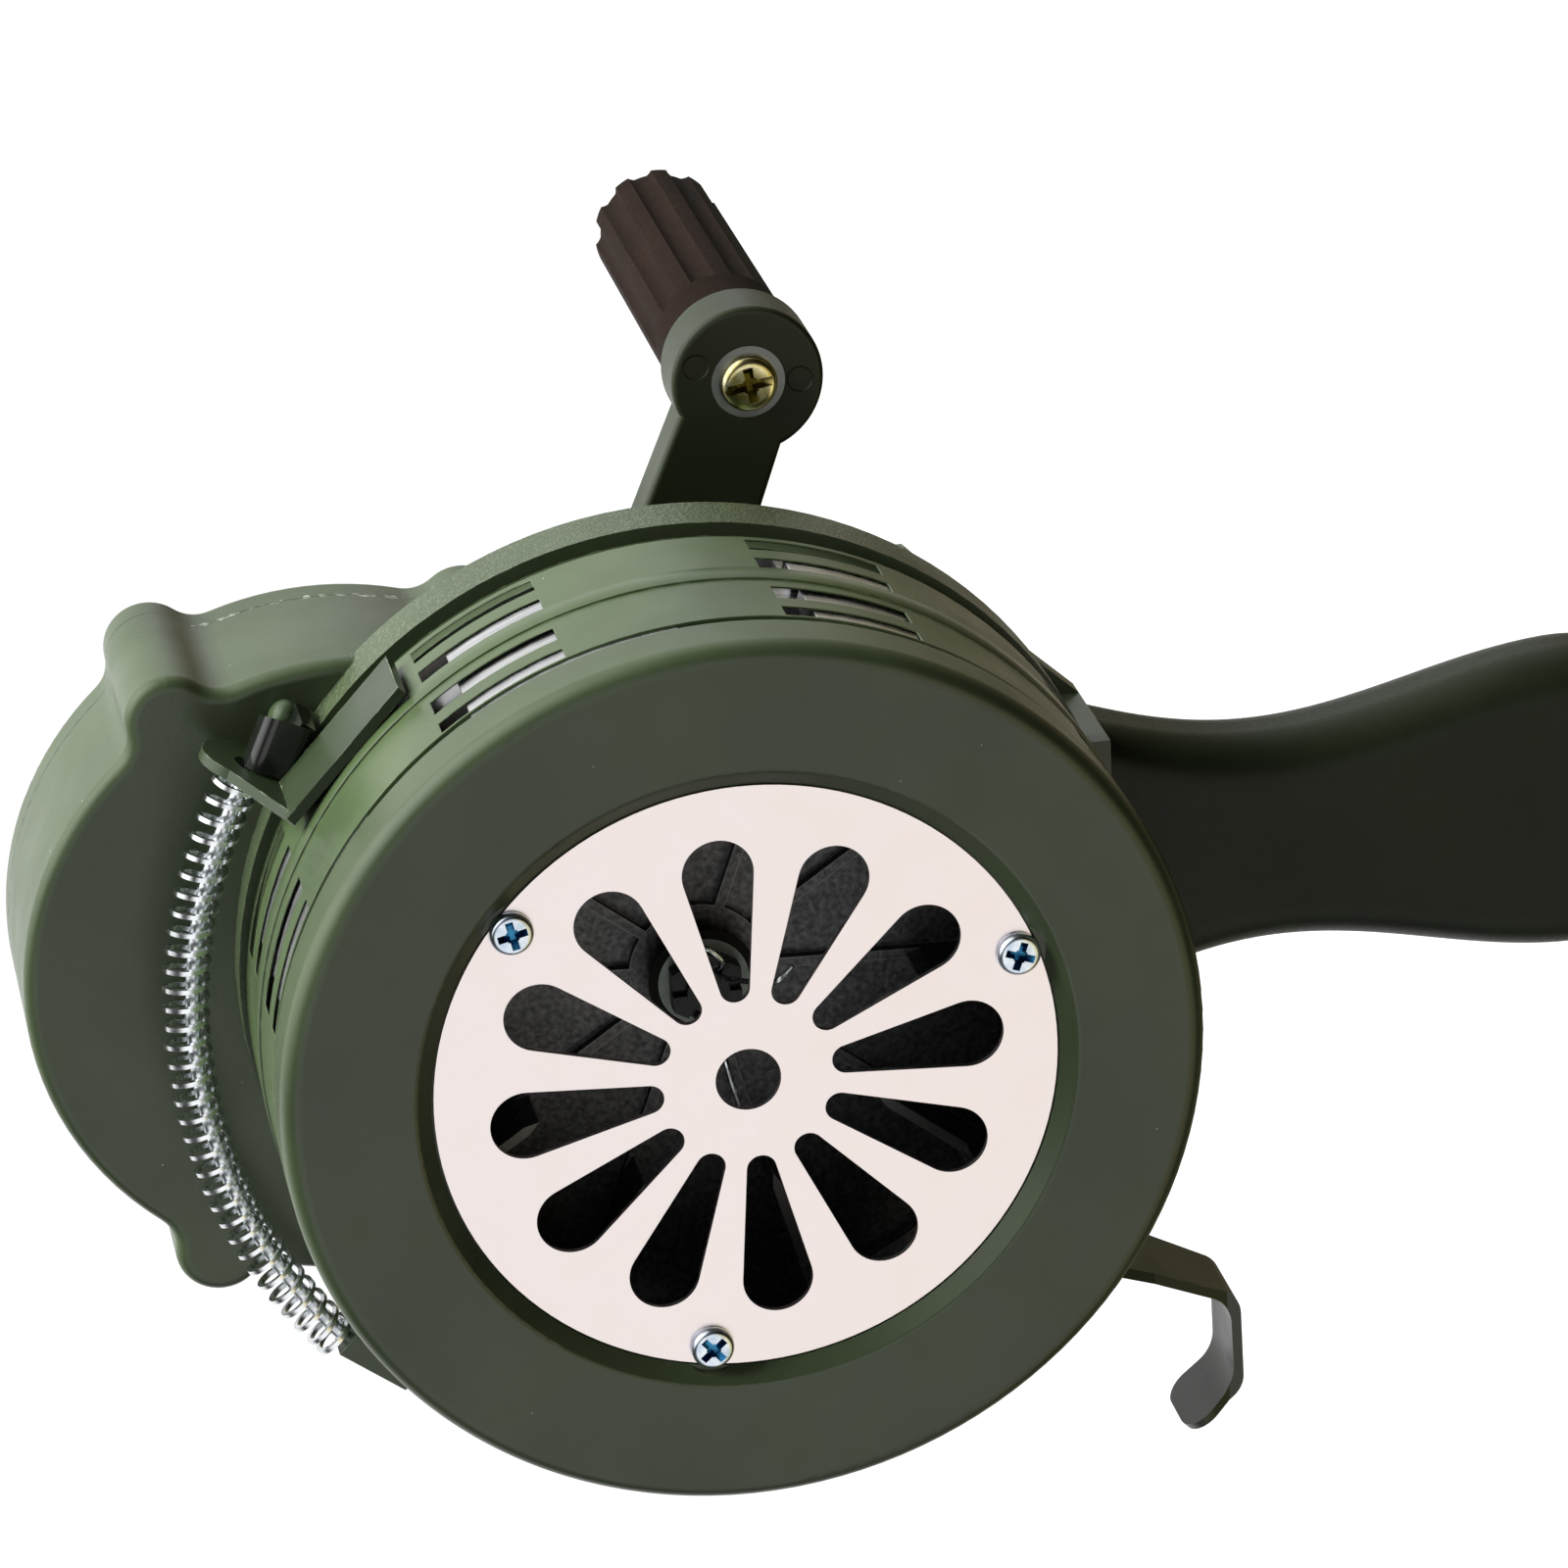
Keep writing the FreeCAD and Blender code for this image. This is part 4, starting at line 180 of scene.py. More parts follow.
def sprayed_enamel(name, dark, light, roughness, grain_mm, grain_depth_mm, dust=0.12, wear=0.4,
                   shine=0.5):
    """Satin enamel sprayed on a casting: even olive, a fine orange peel, dust nibs, rubbed edges."""
    material, tree, shader, place = new_finish(name)
    drift = add(tree, "ShaderNodeTexNoise", {"Vector": place, "Scale": per_metre(38), "Detail": 4})
    shade = add(tree, "ShaderNodeMapRange", {"Value": drift, "From Min": 0.35, "From Max": 0.65})
    even = add(tree, "ShaderNodeMix", {0: shade, 6: dark, 7: light}, 2, data_type="RGBA")
    nibs = specks(tree, place, 5.0, 0.24, dust)
    pale = add(tree, "ShaderNodeMath", {0: nibs, 1: 0.6}, operation="MULTIPLY")
    dusty = add(tree, "ShaderNodeMix", {0: pale, 6: even, 7: "#a9b09e"}, 2, data_type="RGBA")
    chips = add(tree, "ShaderNodeTexNoise", {"Vector": place, "Scale": per_metre(3.2), "Detail": 5})
    chipped = add(tree, "ShaderNodeMapRange", {"Value": chips, "From Min": 0.5, "From Max": 0.62,
                                               "To Max": wear})
    rubbed = add(tree, "ShaderNodeMath", {0: edge_mask(tree, 0.4), 1: chipped}, operation="MULTIPLY")
    pale_marks = add(tree, "ShaderNodeMix", {0: rubbed, 6: dusty, 7: "#7d8a6c"}, 2, data_type="RGBA")
    smear = add(tree, "ShaderNodeTexNoise", {"Vector": place, "Scale": per_metre(14), "Detail": 3})
    gloss = add(tree, "ShaderNodeMapRange", {"Value": smear, "From Min": 0.3, "From Max": 0.7,
                                             "To Min": roughness - 0.05, "To Max": roughness + 0.06})
    peel = add(tree, "ShaderNodeTexNoise", {"Vector": place, "Scale": per_metre(grain_mm), "Detail": 2})
    skin = add(tree, "ShaderNodeBump", {"Height": peel, "Distance": grain_depth_mm * MM})
    bumpy = add(tree, "ShaderNodeBump", {"Height": nibs, "Distance": 0.05 * MM, "Normal": skin})
    feed(tree, shader, {"Base Color": pale_marks, "Roughness": gloss, "Specular IOR Level": shine,
                        "Normal": bumpy})
    return material


def chipped_joint(tree, place, painted):
    """The painted colour with the lid joint's dark line and a ragged stretch of bare metal along it."""
    depth = add(tree, "ShaderNodeSeparateXYZ", {"Vector": place}, "Y")
    joint = (LID_JOINT + DRUM_FACE) * MM
    off = add(tree, "ShaderNodeMath", {0: depth, 1: joint}, operation="SUBTRACT")
    away = add(tree, "ShaderNodeMath", {0: off}, operation="ABSOLUTE")
    ragged = add(tree, "ShaderNodeTexNoise", {"Vector": place, "Scale": per_metre(2.4), "Detail": 6})
    reach = add(tree, "ShaderNodeMapRange", {"Value": ragged, "From Min": 0.4, "From Max": 0.66,
                                             "To Min": -0.2 * MM, "To Max": 0.9 * MM})
    close = add(tree, "ShaderNodeMath", {0: away, 1: reach}, operation="LESS_THAN")
    across = add(tree, "ShaderNodeSeparateXYZ", {"Vector": place}, "X")
    upward = add(tree, "ShaderNodeSeparateXYZ", {"Vector": place}, "Z")
    middle_x, reach_x = LID_CHIPS_X
    middle_z, reach_z = LID_CHIPS_Z
    in_x = add(tree, "ShaderNodeMath", {0: across, 1: middle_x * MM, 2: reach_x * MM}, operation="COMPARE")
    in_z = add(tree, "ShaderNodeMath", {0: upward, 1: (middle_z + DRUM_AXIS) * MM, 2: reach_z * MM},
               operation="COMPARE")
    stretch = add(tree, "ShaderNodeMath", {0: in_x, 1: in_z}, operation="MULTIPLY")
    bare = add(tree, "ShaderNodeMath", {0: close, 1: stretch}, operation="MULTIPLY")
    chipped = add(tree, "ShaderNodeMix", {0: bare, 6: painted, 7: "#80847a"}, 2, data_type="RGBA")
    gap = add(tree, "ShaderNodeMath", {0: away, 1: 0.18 * MM}, operation="LESS_THAN")
    return add(tree, "ShaderNodeMix", {0: gap, 6: chipped, 7: "#0b0d09"}, 2, data_type="RGBA")


def flange_rim(tree, place):
    """Mask that is 1 on the outer face of the rear flange."""
    depth = add(tree, "ShaderNodeSeparateXYZ", {"Vector": place}, "Y")
    middle = (FLANGE_MIDDLE + DRUM_FACE) * MM
    level = add(tree, "ShaderNodeMath", {0: depth, 1: middle, 2: FLANGE_HALF * MM}, operation="COMPARE")
    facing = add(tree, "ShaderNodeNewGeometry", {}, "Normal")
    ahead = add(tree, "ShaderNodeSeparateXYZ", {"Vector": facing}, "Y")
    sideways = add(tree, "ShaderNodeMath", {0: ahead, 1: 0.0, 2: 0.5}, operation="COMPARE")
    edge = add(tree, "ShaderNodeMath", {0: axis_distance(tree, place), 1: FLANGE_RADIUS * MM, 2: 1.5 * MM},
               operation="COMPARE")
    rim = add(tree, "ShaderNodeMath", {0: level, 1: sideways}, operation="MULTIPLY")
    return add(tree, "ShaderNodeMath", {0: rim, 1: edge}, operation="MULTIPLY")


def housing_enamel(name):
    """The housing's enamel on its casting, chipped along the lid's joint, with a sandy rim."""
    material = sprayed_enamel(name, OLIVE, OLIVE_LIGHT, 0.33, 0.9, 0.03, wear=0.8)
    tree = material.node_tree
    shader = tree.nodes["Principled BSDF"]
    place = add(tree, "ShaderNodeTexCoord", {}, "Object")
    painted = shader.inputs["Base Color"].links[0].from_socket
    smooth = shader.inputs["Normal"].links[0].from_socket
    chipped = chipped_joint(tree, place, painted)
    rim = flange_rim(tree, place)
    sand = add(tree, "ShaderNodeTexNoise", {"Vector": place, "Scale": per_metre(0.6), "Detail": 5})
    grit = add(tree, "ShaderNodeMapRange", {"Value": sand, "From Min": 0.52, "From Max": 0.7})
    sparkle = add(tree, "ShaderNodeMath", {0: grit, 1: rim}, operation="MULTIPLY")
    gritty = add(tree, "ShaderNodeMix", {0: sparkle, 6: chipped, 7: "#4c5543"}, 2, data_type="RGBA")
    coarse = add(tree, "ShaderNodeMapRange", {"Value": rim, "To Min": 0.01 * MM, "To Max": 0.2 * MM})
    rough = add(tree, "ShaderNodeBump", {"Height": sand, "Distance": coarse, "Normal": smooth})
    feed(tree, shader, {"Base Color": gritty, "Normal": rough})
    return material


def arm_enamel_painted_shade(name):
    """The crank arm's enamel, painted much darker than the housing's olive as painted shade, with the two
    round marks that the mould's ejectors left on its boss.
    """
    # Painted shade: the same olive enamel as the housing, darkened to stand in for the shadow that falls on
    # the arm.
    material = sprayed_enamel(name, "#171c11", "#1d2315", 0.4, 1.4, 0.015, shine=0.35)
    tree = material.node_tree
    shader = tree.nodes["Principled BSDF"]
    place = add(tree, "ShaderNodeTexCoord", {}, "Object")
    flat = add(tree, "ShaderNodeVectorMath", {0: place, 1: (1, 0, 1)}, operation="MULTIPLY")
    for across, up in EJECTOR_MARKS:
        centre = drum_point(KNOB[0] + across, 0, KNOB[1] + up)
        reach = add(tree, "ShaderNodeVectorMath", {0: flat, 1: (centre.x, 0, centre.z)}, "Value",
                    operation="DISTANCE")
        inside = add(tree, "ShaderNodeMapRange", {"Value": reach, "From Min": (EJECTOR_RADIUS - 0.15) * MM,
                                                  "From Max": (EJECTOR_RADIUS + 0.15) * MM})
        before = shader.inputs["Normal"].links[0].from_socket
        step = add(tree, "ShaderNodeBump", {"Height": inside, "Distance": 0.25 * MM, "Normal": before})
        feed(tree, shader, {"Normal": step})
    return material


def satin_stainless(name):
    """Polished stainless sheet: nearly white, with a faint cloudy haze left by the buffing."""
    material, tree, shader, place = new_finish(name)
    haze = add(tree, "ShaderNodeTexNoise", {"Vector": place, "Scale": per_metre(9), "Detail": 5})
    clouds = add(tree, "ShaderNodeMapRange", {"Value": haze, "From Min": 0.32, "From Max": 0.68})
    tone = add(tree, "ShaderNodeMix", {0: clouds, 6: "#ebe2e3", 7: "#f2e9ea"}, 2, data_type="RGBA")
    dull = add(tree, "ShaderNodeMapRange", {"Value": haze, "From Min": 0.3, "From Max": 0.7,
                                            "To Min": 0.26, "To Max": 0.38})
    ripple = add(tree, "ShaderNodeTexNoise", {"Vector": place, "Scale": per_metre(16), "Detail": 2})
    wavy = add(tree, "ShaderNodeBump", {"Height": ripple, "Distance": 0.05 * MM})
    feed(tree, shader, {"Base Color": tone, "Roughness": dull, "Metallic": 1.0, "Normal": wavy})
    return material


def plated(name, colour, bright, roughness):
    """Passivated zinc on a steel screw: bright, with a tinted film that is uneven."""
    material, tree, shader, place = new_finish(name)
    film = add(tree, "ShaderNodeTexNoise", {"Vector": place, "Scale": per_metre(2.2), "Detail": 3})
    uneven = add(tree, "ShaderNodeMapRange", {"Value": film, "From Min": 0.3, "From Max": 0.7})
    tone = add(tree, "ShaderNodeMix", {0: uneven, 6: colour, 7: bright}, 2, data_type="RGBA")
    wavy = add(tree, "ShaderNodeBump", {"Height": film, "Distance": 0.02 * MM})
    feed(tree, shader, {"Base Color": tone, "Roughness": roughness, "Metallic": 1.0, "Normal": wavy})
    return material


def turned_metal(name, colour, dark, roughness):
    """Metal turned on a lathe about the drum's axis: fine rings that stretch the highlights."""
    material, tree, shader, place = new_finish(name)
    stretch = add(tree, "ShaderNodeMapping", {"Vector": place, "Scale": (0.06, 1.0, 0.06)})
    rings = add(tree, "ShaderNodeTexNoise", {"Vector": stretch, "Scale": per_metre(1.05), "Detail": 4})
    streak = add(tree, "ShaderNodeMapRange", {"Value": rings, "From Min": 0.3, "From Max": 0.7})
    tone = add(tree, "ShaderNodeMix", {0: streak, 6: dark, 7: colour}, 2, data_type="RGBA")
    dull = add(tree, "ShaderNodeMapRange", {"Value": rings, "From Min": 0.3, "From Max": 0.7,
                                            "To Min": roughness - 0.08, "To Max": roughness + 0.1})
    ridges = add(tree, "ShaderNodeBump", {"Height": rings, "Distance": 0.01 * MM})
    feed(tree, shader, {"Base Color": tone, "Roughness": dull, "Metallic": 1.0, "Normal": ridges})
    return material


def ground_steel(name, colour, roughness):
    """Ground or drawn steel: a clean grey with a light grain and the odd dull patch."""
    material, tree, shader, place = new_finish(name)
    grain = add(tree, "ShaderNodeTexNoise", {"Vector": place, "Scale": per_metre(1.4), "Detail": 5})
    patch = add(tree, "ShaderNodeMapRange", {"Value": grain, "From Min": 0.3, "From Max": 0.7,
                                             "To Min": roughness - 0.06, "To Max": roughness + 0.12})
    scratch = add(tree, "ShaderNodeBump", {"Height": grain, "Distance": 0.008 * MM})
    feed(tree, shader, {"Base Color": colour, "Roughness": patch, "Metallic": 1.0, "Normal": scratch})
    return material


def cast_aluminium(name):
    """Sand-cast aluminium, blackened: coarse dark skin, pale metal on filed edges, and a painted highlight:
    forward faces ahead of the hub's lip, the lip among them, are painted pale.
    """
    material, tree, shader, place = new_finish(name)
    skin = add(tree, "ShaderNodeTexNoise", {"Vector": place, "Scale": per_metre(1.1), "Detail": 6})
    shade = add(tree, "ShaderNodeMapRange", {"Value": skin, "From Min": 0.3, "From Max": 0.7})
    dark = add(tree, "ShaderNodeMix", {0: shade, 6: "#4a4a4b", 7: "#78787a"}, 2, data_type="RGBA")
    facing = add(tree, "ShaderNodeNewGeometry", {}, "Normal")
    ahead = add(tree, "ShaderNodeSeparateXYZ", {"Vector": facing}, "Y")
    # Painted highlight: faces that look forward and lie ahead of the hub's lip are painted pale as if lit,
    # on the blade edges and the lip.
    forward = add(tree, "ShaderNodeMath", {0: ahead, 1: -0.9}, operation="LESS_THAN")
    depth = add(tree, "ShaderNodeSeparateXYZ", {"Vector": place}, "Y")
    lip_depth = (HUB_BEHIND + DRUM_FACE) * MM
    at_lip = add(tree, "ShaderNodeMath", {0: depth, 1: lip_depth}, operation="LESS_THAN")
    lit_front_faces = add(tree, "ShaderNodeMath", {0: forward, 1: at_lip}, operation="MULTIPLY")
    pale_marks = add(tree, "ShaderNodeMath", {0: lit_front_faces, 1: edge_mask(tree, 0.5)}, operation="MAXIMUM")
    pale_edges_and_lit_fronts = add(tree, "ShaderNodeMix", {0: pale_marks, 6: dark, 7: "#a5a3a2"}, 2, data_type="RGBA")
    rough = add(tree, "ShaderNodeBump", {"Height": skin, "Distance": 0.12 * MM})
    feed(tree, shader, {"Base Color": pale_edges_and_lit_fronts, "Roughness": 0.45, "Metallic": 0.9, "Normal": rough})
    return material


def seal_washer(name):
    """A nylon washer about the rotor's axis; its outer ring is painted near black and metallic, a painted
    shade for the shadow in the hub's cup.
    """
    material, tree, shader, place = new_finish(name)
    reach = axis_distance(tree, place)
    # The mask named steel is painted shade: the outer ring is painted near black and metallic to stand in
    # for the hub cup's shadow.
    steel = add(tree, "ShaderNodeMath", {0: reach, 1: SEAL_NYLON * MM}, operation="GREATER_THAN")
    smudge = add(tree, "ShaderNodeTexNoise", {"Vector": place, "Scale": per_metre(2.5), "Detail": 3})
    nylon = add(tree, "ShaderNodeMix", {0: smudge, 6: "#8f9b93", 7: "#cbd6cc"}, 2, data_type="RGBA")
    tone = add(tree, "ShaderNodeMix", {0: steel, 6: nylon, 7: "#1d1c1b"}, 2, data_type="RGBA")
    feed(tree, shader, {"Base Color": tone, "Roughness": 0.45, "Metallic": steel})
    return material


def worn_bronze(name):
    """Sintered bronze: dull brown-gold with fine pores."""
    material, tree, shader, place = new_finish(name)
    pores = add(tree, "ShaderNodeTexNoise", {"Vector": place, "Scale": per_metre(0.8), "Detail": 4})
    tone = add(tree, "ShaderNodeMix", {0: pores, 6: "#6f5230", 7: "#b98f58"}, 2, data_type="RGBA")
    pitted = add(tree, "ShaderNodeBump", {"Height": pores, "Distance": 0.02 * MM})
    feed(tree, shader, {"Base Color": tone, "Roughness": 0.42, "Metallic": 1.0, "Normal": pitted})
    return material


def moulded_plastic(name, colour, light, roughness, grain_mm, grain_depth_mm, shine):
    """Injection-moulded plastic: one deep colour with the fine texture of a blasted mould."""
    material, tree, shader, place = new_finish(name)
    drift = add(tree, "ShaderNodeTexNoise", {"Vector": place, "Scale": per_metre(22), "Detail": 3})
    shade = add(tree, "ShaderNodeMapRange", {"Value": drift, "From Min": 0.3, "From Max": 0.7})
    tone = add(tree, "ShaderNodeMix", {0: shade, 6: colour, 7: light}, 2, data_type="RGBA")
    grain = add(tree, "ShaderNodeTexNoise", {"Vector": place, "Scale": per_metre(grain_mm), "Detail": 3})
    dull = add(tree, "ShaderNodeMapRange", {"Value": grain, "From Min": 0.3, "From Max": 0.7,
                                            "To Min": roughness - 0.05, "To Max": roughness + 0.07})
    blasted = add(tree, "ShaderNodeBump", {"Height": grain, "Distance": grain_depth_mm * MM})
    feed(tree, shader, {"Base Color": tone, "Roughness": dull, "Specular IOR Level": shine,
                        "Normal": blasted})
    return material


OLIVE = "#2c3523"
OLIVE_LIGHT = "#343e2a"

# Each finish by the name that the pieces below use; colours run from the darker tone to the lighter.
FINISHES = {
    "cover": sprayed_enamel("cover_enamel", OLIVE, OLIVE_LIGHT, 0.31, 1.6, 0.012),
    "ring": sprayed_enamel("ring_enamel", "#2e3925", "#38452b", 0.3, 1.8, 0.01, dust=0.4),
    "bracket": sprayed_enamel("bracket_enamel", "#1c2317", "#232c1c", 0.36, 1.2, 0.012, dust=0.6, wear=0.9),
    "housing": housing_enamel("housing_enamel"),
    "arm": arm_enamel_painted_shade("arm_enamel_painted_shade"),
    "grille": satin_stainless("satin_stainless"),
    "blue_zinc": plated("blue_zinc", "#b9c9dc", "#e9f0f6", 0.22),
    # Painted shade: a darker, bluer copy of the blue plating for the faces sunk in the cross recess.
    "blue_recess_shade": plated("blue_recess_shade", "#174a6e", "#3f86b0", 0.3),
    # Painted shade: a darker copy of the yellow plating for the faces sunk in the cross recess.
    "yellow_recess_shade": plated("yellow_recess_shade", "#4a3d12", "#8f8434", 0.3),
    "black_steel": ground_steel("blackened_steel", "#3b3c3e", 0.38),
    "pin_wire": ground_steel("bright_pin_wire", "#dfe6e8", 0.2),
    "yellow_zinc": plated("yellow_zinc", "#b9ab5c", "#f2edc4", 0.2),
    "drum": turned_metal("turned_aluminium", "#ececed", "#c9cacc", 0.34),
    "bearing": ground_steel("ground_steel", "#b5b7ba", 0.25),
    "gear": turned_metal("cut_steel", "#a2a4a7", "#8b8d90", 0.34),
    "spring_wire": ground_steel("zinc_wire", "#eef1f4", 0.2),
    "bright_rod": ground_steel("drawn_bright_steel", "#e2e6ea", 0.22),
    "washer": ground_steel("pressed_washer", "#8d9197", 0.35),
    "rotor": cast_aluminium("cast_aluminium"),
    "bush": worn_bronze("sintered_bronze"),
    "seal": seal_washer("nylon_washer_painted_shade"),
    "gloss_black": moulded_plastic("gloss_black_sleeve", "#0c0e0c", "#141713", 0.16, 2.5, 0.01, 0.6),
    "stop": sprayed_enamel("stop_enamel", "#26301f", "#2d3926", 0.3, 1.8, 0.012),
    # Dark brown plastic, made darker still as painted shade: it stands in for the shadow over the knob.
    "knob": moulded_plastic("knob_plastic", "#0e0805", "#150c07", 0.6, 0.8, 0.02, 0.05),
    "handle": moulded_plastic("handle_plastic", "#161a11", "#1b2115", 0.36, 1.0, 0.02, 0.16),
}

NODE_FINISH = {
    "cover": ["front_cover"], "grille": ["grille_plate"], "drum": ["stator"],
    "ring": ["shutter_ring"], "bracket": ["spring_bracket", "trigger_lever"],
    "housing": ["rear_housing", "gearbox_cover"], "arm": ["crank_arm"],
    "blue_zinc": ["grille_screws", "stator_screws", "gearbox_screws", "handle_screws", "crank_nut"],
    "black_steel": ["impeller_nut", "rotor_shaft"], "pin_wire": ["split_pin"],
    "stop": ["spring_stop_lower", "stop_bolts"], "gloss_black": ["spring_stop_upper"],
    "yellow_zinc": ["grip_screw"], "washer": ["grip_washer"], "seal": ["hub_washer"],
    "bearing": ["rotor_bearing_front", "rotor_bearing_rear", "idler_pin", "crank_shaft", "grip_spindle"],
    "gear": ["crank_gear", "idler_gear", "idler_pinion", "rotor_pinion"],
    "spring_wire": ["return_spring"], "bright_rod": ["guide_rod"], "rotor": ["impeller"],
    "bush": ["crank_bush_front", "crank_bush_rear"], "knob": ["crank_grip", "grip_end_cap"],
    "handle": ["handle_half_left", "handle_half_right"],
}


def dress(piece, *finishes):
    """Give a piece its finishes, the first of them for all that isn't marked otherwise."""
    if piece.data.materials:
        piece.data.materials.clear()
    for finish in finishes:
        piece.data.materials.append(FINISHES[finish])


for finish, names in NODE_FINISH.items():
    for name in names:
        dress(frame["nodes"][name], finish)


# ---------------------------------------------------------------- mesh helpers

CRISP_ANGLE = 32         # edges sharper than this stay crisp, degrees


def as_object(bm, name):
    """The bmesh as an object at the origin."""
    mesh = bpy.data.meshes.new(name)
    bm.to_mesh(mesh)
    bm.free()
    piece = bpy.data.objects.new(name, mesh)
    bpy.context.scene.collection.objects.link(piece)
    return piece


def join(bm, other):
    """Add another bmesh's shape to bm."""
    mesh = bpy.data.meshes.new("part")
    other.to_mesh(mesh)
    other.free()
    bm.from_mesh(mesh)
    bpy.data.meshes.remove(mesh)


def smooth_by_angle(piece, limit):
    """Smooth shading, with edges sharper than limit degrees kept crisp."""
    bm = bmesh.new()
    bm.from_mesh(piece.data)
    for face in bm.faces:
        face.smooth = True
    for edge in bm.edges:
        edge.smooth = edge.is_manifold and edge.calc_face_angle(math.pi) < math.radians(limit)
    bm.to_mesh(piece.data)
    bm.free()


def soften(bm, width_mm, sharper=50, segments=2):
    """Round the edges sharper than an angle in degrees."""
    edges = [e for e in bm.edges if e.is_manifold and e.calc_face_angle(0) > math.radians(sharper)]
    bmesh.ops.bevel(bm, geom=edges, offset=width_mm * MM, affect="EDGES", segments=segments, profile=0.5,
                    material=-1)


def finished_piece(bm, name, finishes, node, replaces=True):
    """The bmesh as a dressed piece that rides with a CAD node and, as a rule, stands in for it."""
    piece = as_object(bm, name)
    smooth_by_angle(piece, CRISP_ANGLE)
    dress(piece, *finishes)
    if replaces:
        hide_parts(node)
    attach(piece, frame["nodes"][node]["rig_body"])
    return piece


# ---------------------------------------------------------------- slotted drum and shutter

def slotted_band(outer, inner, low, high, slots=(), phase=0.0, steps=8):
    """A thin drum wall with a set of slots in each of its eight sectors; radii and depths in mm."""
    sector = 360 / PORT_COUNT
    turns = []
    for k in range(PORT_COUNT):
        start = phase + sector * k - PORT_ANGLE / 2
        turns += [start + PORT_ANGLE * i / steps for i in range(steps)]
        turns += [start + PORT_ANGLE + (sector - PORT_ANGLE) * i / steps for i in range(steps)]
    depths = sorted({low, high, *[edge for slot in slots for edge in slot]})
    rows = len(depths) - 1

    def solid(i, j):
        open_here = i % (2 * steps) < steps and any(a <= depths[j] < b for a, b in slots)
        return not open_here

    bm = bmesh.new()
    skins = [[[bm.verts.new(on_drum(radius, turn, depth)) for depth in depths] for turn in turns]
             for radius in (outer, inner)]
    count = len(turns)
    for i in range(count):
        ahead = (i + 1) % count
        for j in range(rows):
            if not solid(i, j):
                continue
            corners = [(i, j), (ahead, j), (ahead, j + 1), (i, j + 1)]
            beyond = [(i, j - 1), (ahead, j), (i, j + 1), (i - 1, j)]
            for skin in skins:
                bm.faces.new([skin[a][b] for a, b in corners])
            for side, (a, b) in enumerate(beyond):
                if 0 <= b < rows and solid(a % count, b):
                    continue
                one, two = corners[side], corners[(side + 1) % 4]
                bm.faces.new([skins[0][one[0]][one[1]], skins[0][two[0]][two[1]],
                              skins[1][two[0]][two[1]], skins[1][one[0]][one[1]]])
    bmesh.ops.delete(bm, geom=[v for v in bm.verts if not v.link_faces], context="VERTS")
    bmesh.ops.recalc_face_normals(bm, faces=bm.faces)
    return bm


def slab(across, depths, along, phase):
    """A block square to the direction phase: distance from the axis, depth and sideways span in mm."""
    bm = bmesh.new()
    for v in bmesh.ops.create_cube(bm, size=1)["verts"]:
        spans = [low + (high - low) * (c + 0.5) for (low, high), c in zip((across, depths, along), v.co)]
        reach = math.hypot(spans[0], spans[2])
        v.co = on_drum(reach, phase + math.degrees(math.atan2(spans[2], spans[0])), spans[1])
    bmesh.ops.recalc_face_normals(bm, faces=bm.faces)
    return bm


RING_OUTER = 84.0
RING_SHEET = 0.35        # wall of the shutter at its slits
RING_FRONT = 15.5
RING_BACK = 56.7
SLITS = ((16.0, 20.3), (24.7, 30.5), (40.0, 45.5), (50.0, 55.0))     # depths of each window's slits
HOOPS = (                # outer and inner radius, then depths
    (82.7, 82.0, 13.3, 15.7),                             # step that runs under the cover's lip
    (RING_OUTER, 82.0, 15.4, 15.9),                       # face of that step
    (84.4, RING_OUTER - RING_SHEET, 34.0, 39.5),          # middle rib
)
PADS = (((-9, 9), 46.0), ((-16, 0), 225.5))               # sideways span and phase
PAD_ACROSS = (82.0, 84.5)
PAD_DEPTHS = (41.0, 51.0)
LANDS = ((83.5, 14.0, 22.6), (83.15, 22.6, 33.0), (83.5, 38.4, 47.6))     # outer radius, then depths
LAND_INNER = 80.45


def shutter_sheet():
    """The shutter: a thin sheet with four slits in each window, its step, rib and two pads."""
    bm = slotted_band(RING_OUTER, RING_OUTER - RING_SHEET, RING_FRONT, RING_BACK, SLITS, WINDOW_PHASE)
    soften(bm, 0.12, segments=1)
    for outer, inner, low, high in HOOPS:
        hoop = slotted_band(outer, inner, low, high)
        soften(hoop, 0.15)
        join(bm, hoop)
    for along, phase in PADS:
        pad = slab(PAD_ACROSS, PAD_DEPTHS, along, phase)
        soften(pad, 0.3)
        join(bm, pad)
    return finished_piece(bm, "shutter_sheet", ["ring"], "shutter_ring")


def drum_lands():
    """Bright turned lands of the drum between its ports, just under the shutter's slits."""
    whole = bmesh.new()
    for outer, low, high in LANDS:
        land = slotted_band(outer, LAND_INNER, low, high, ((low, high),), PORT_PHASE)
        soften(land, 0.15, segments=1)
        join(whole, land)
    return finished_piece(whole, "drum_lands", ["drum"], "stator", replaces=False)


shutter_sheet()
drum_lands()


# ---------------------------------------------------------------- screws with cross recesses

def lathe(profile, steps=56):
    """A closed bmesh turned about z from a profile of (radius, height) that starts and ends on the axis."""
    bm = bmesh.new()
    corners = [bm.verts.new((radius, 0, height)) for radius, height in profile]
    edges = [bm.edges.new(pair) for pair in zip(corners, corners[1:])]
    bmesh.ops.spin(bm, geom=corners + edges, cent=(0, 0, 0), axis=(0, 0, 1), dvec=(0, 0, 0),
                   angle=math.tau, steps=steps, use_merge=True, use_duplicate=False)
    bmesh.ops.remove_doubles(bm, verts=bm.verts, dist=1e-7)
    bmesh.ops.recalc_face_normals(bm, faces=bm.faces)
    return bm


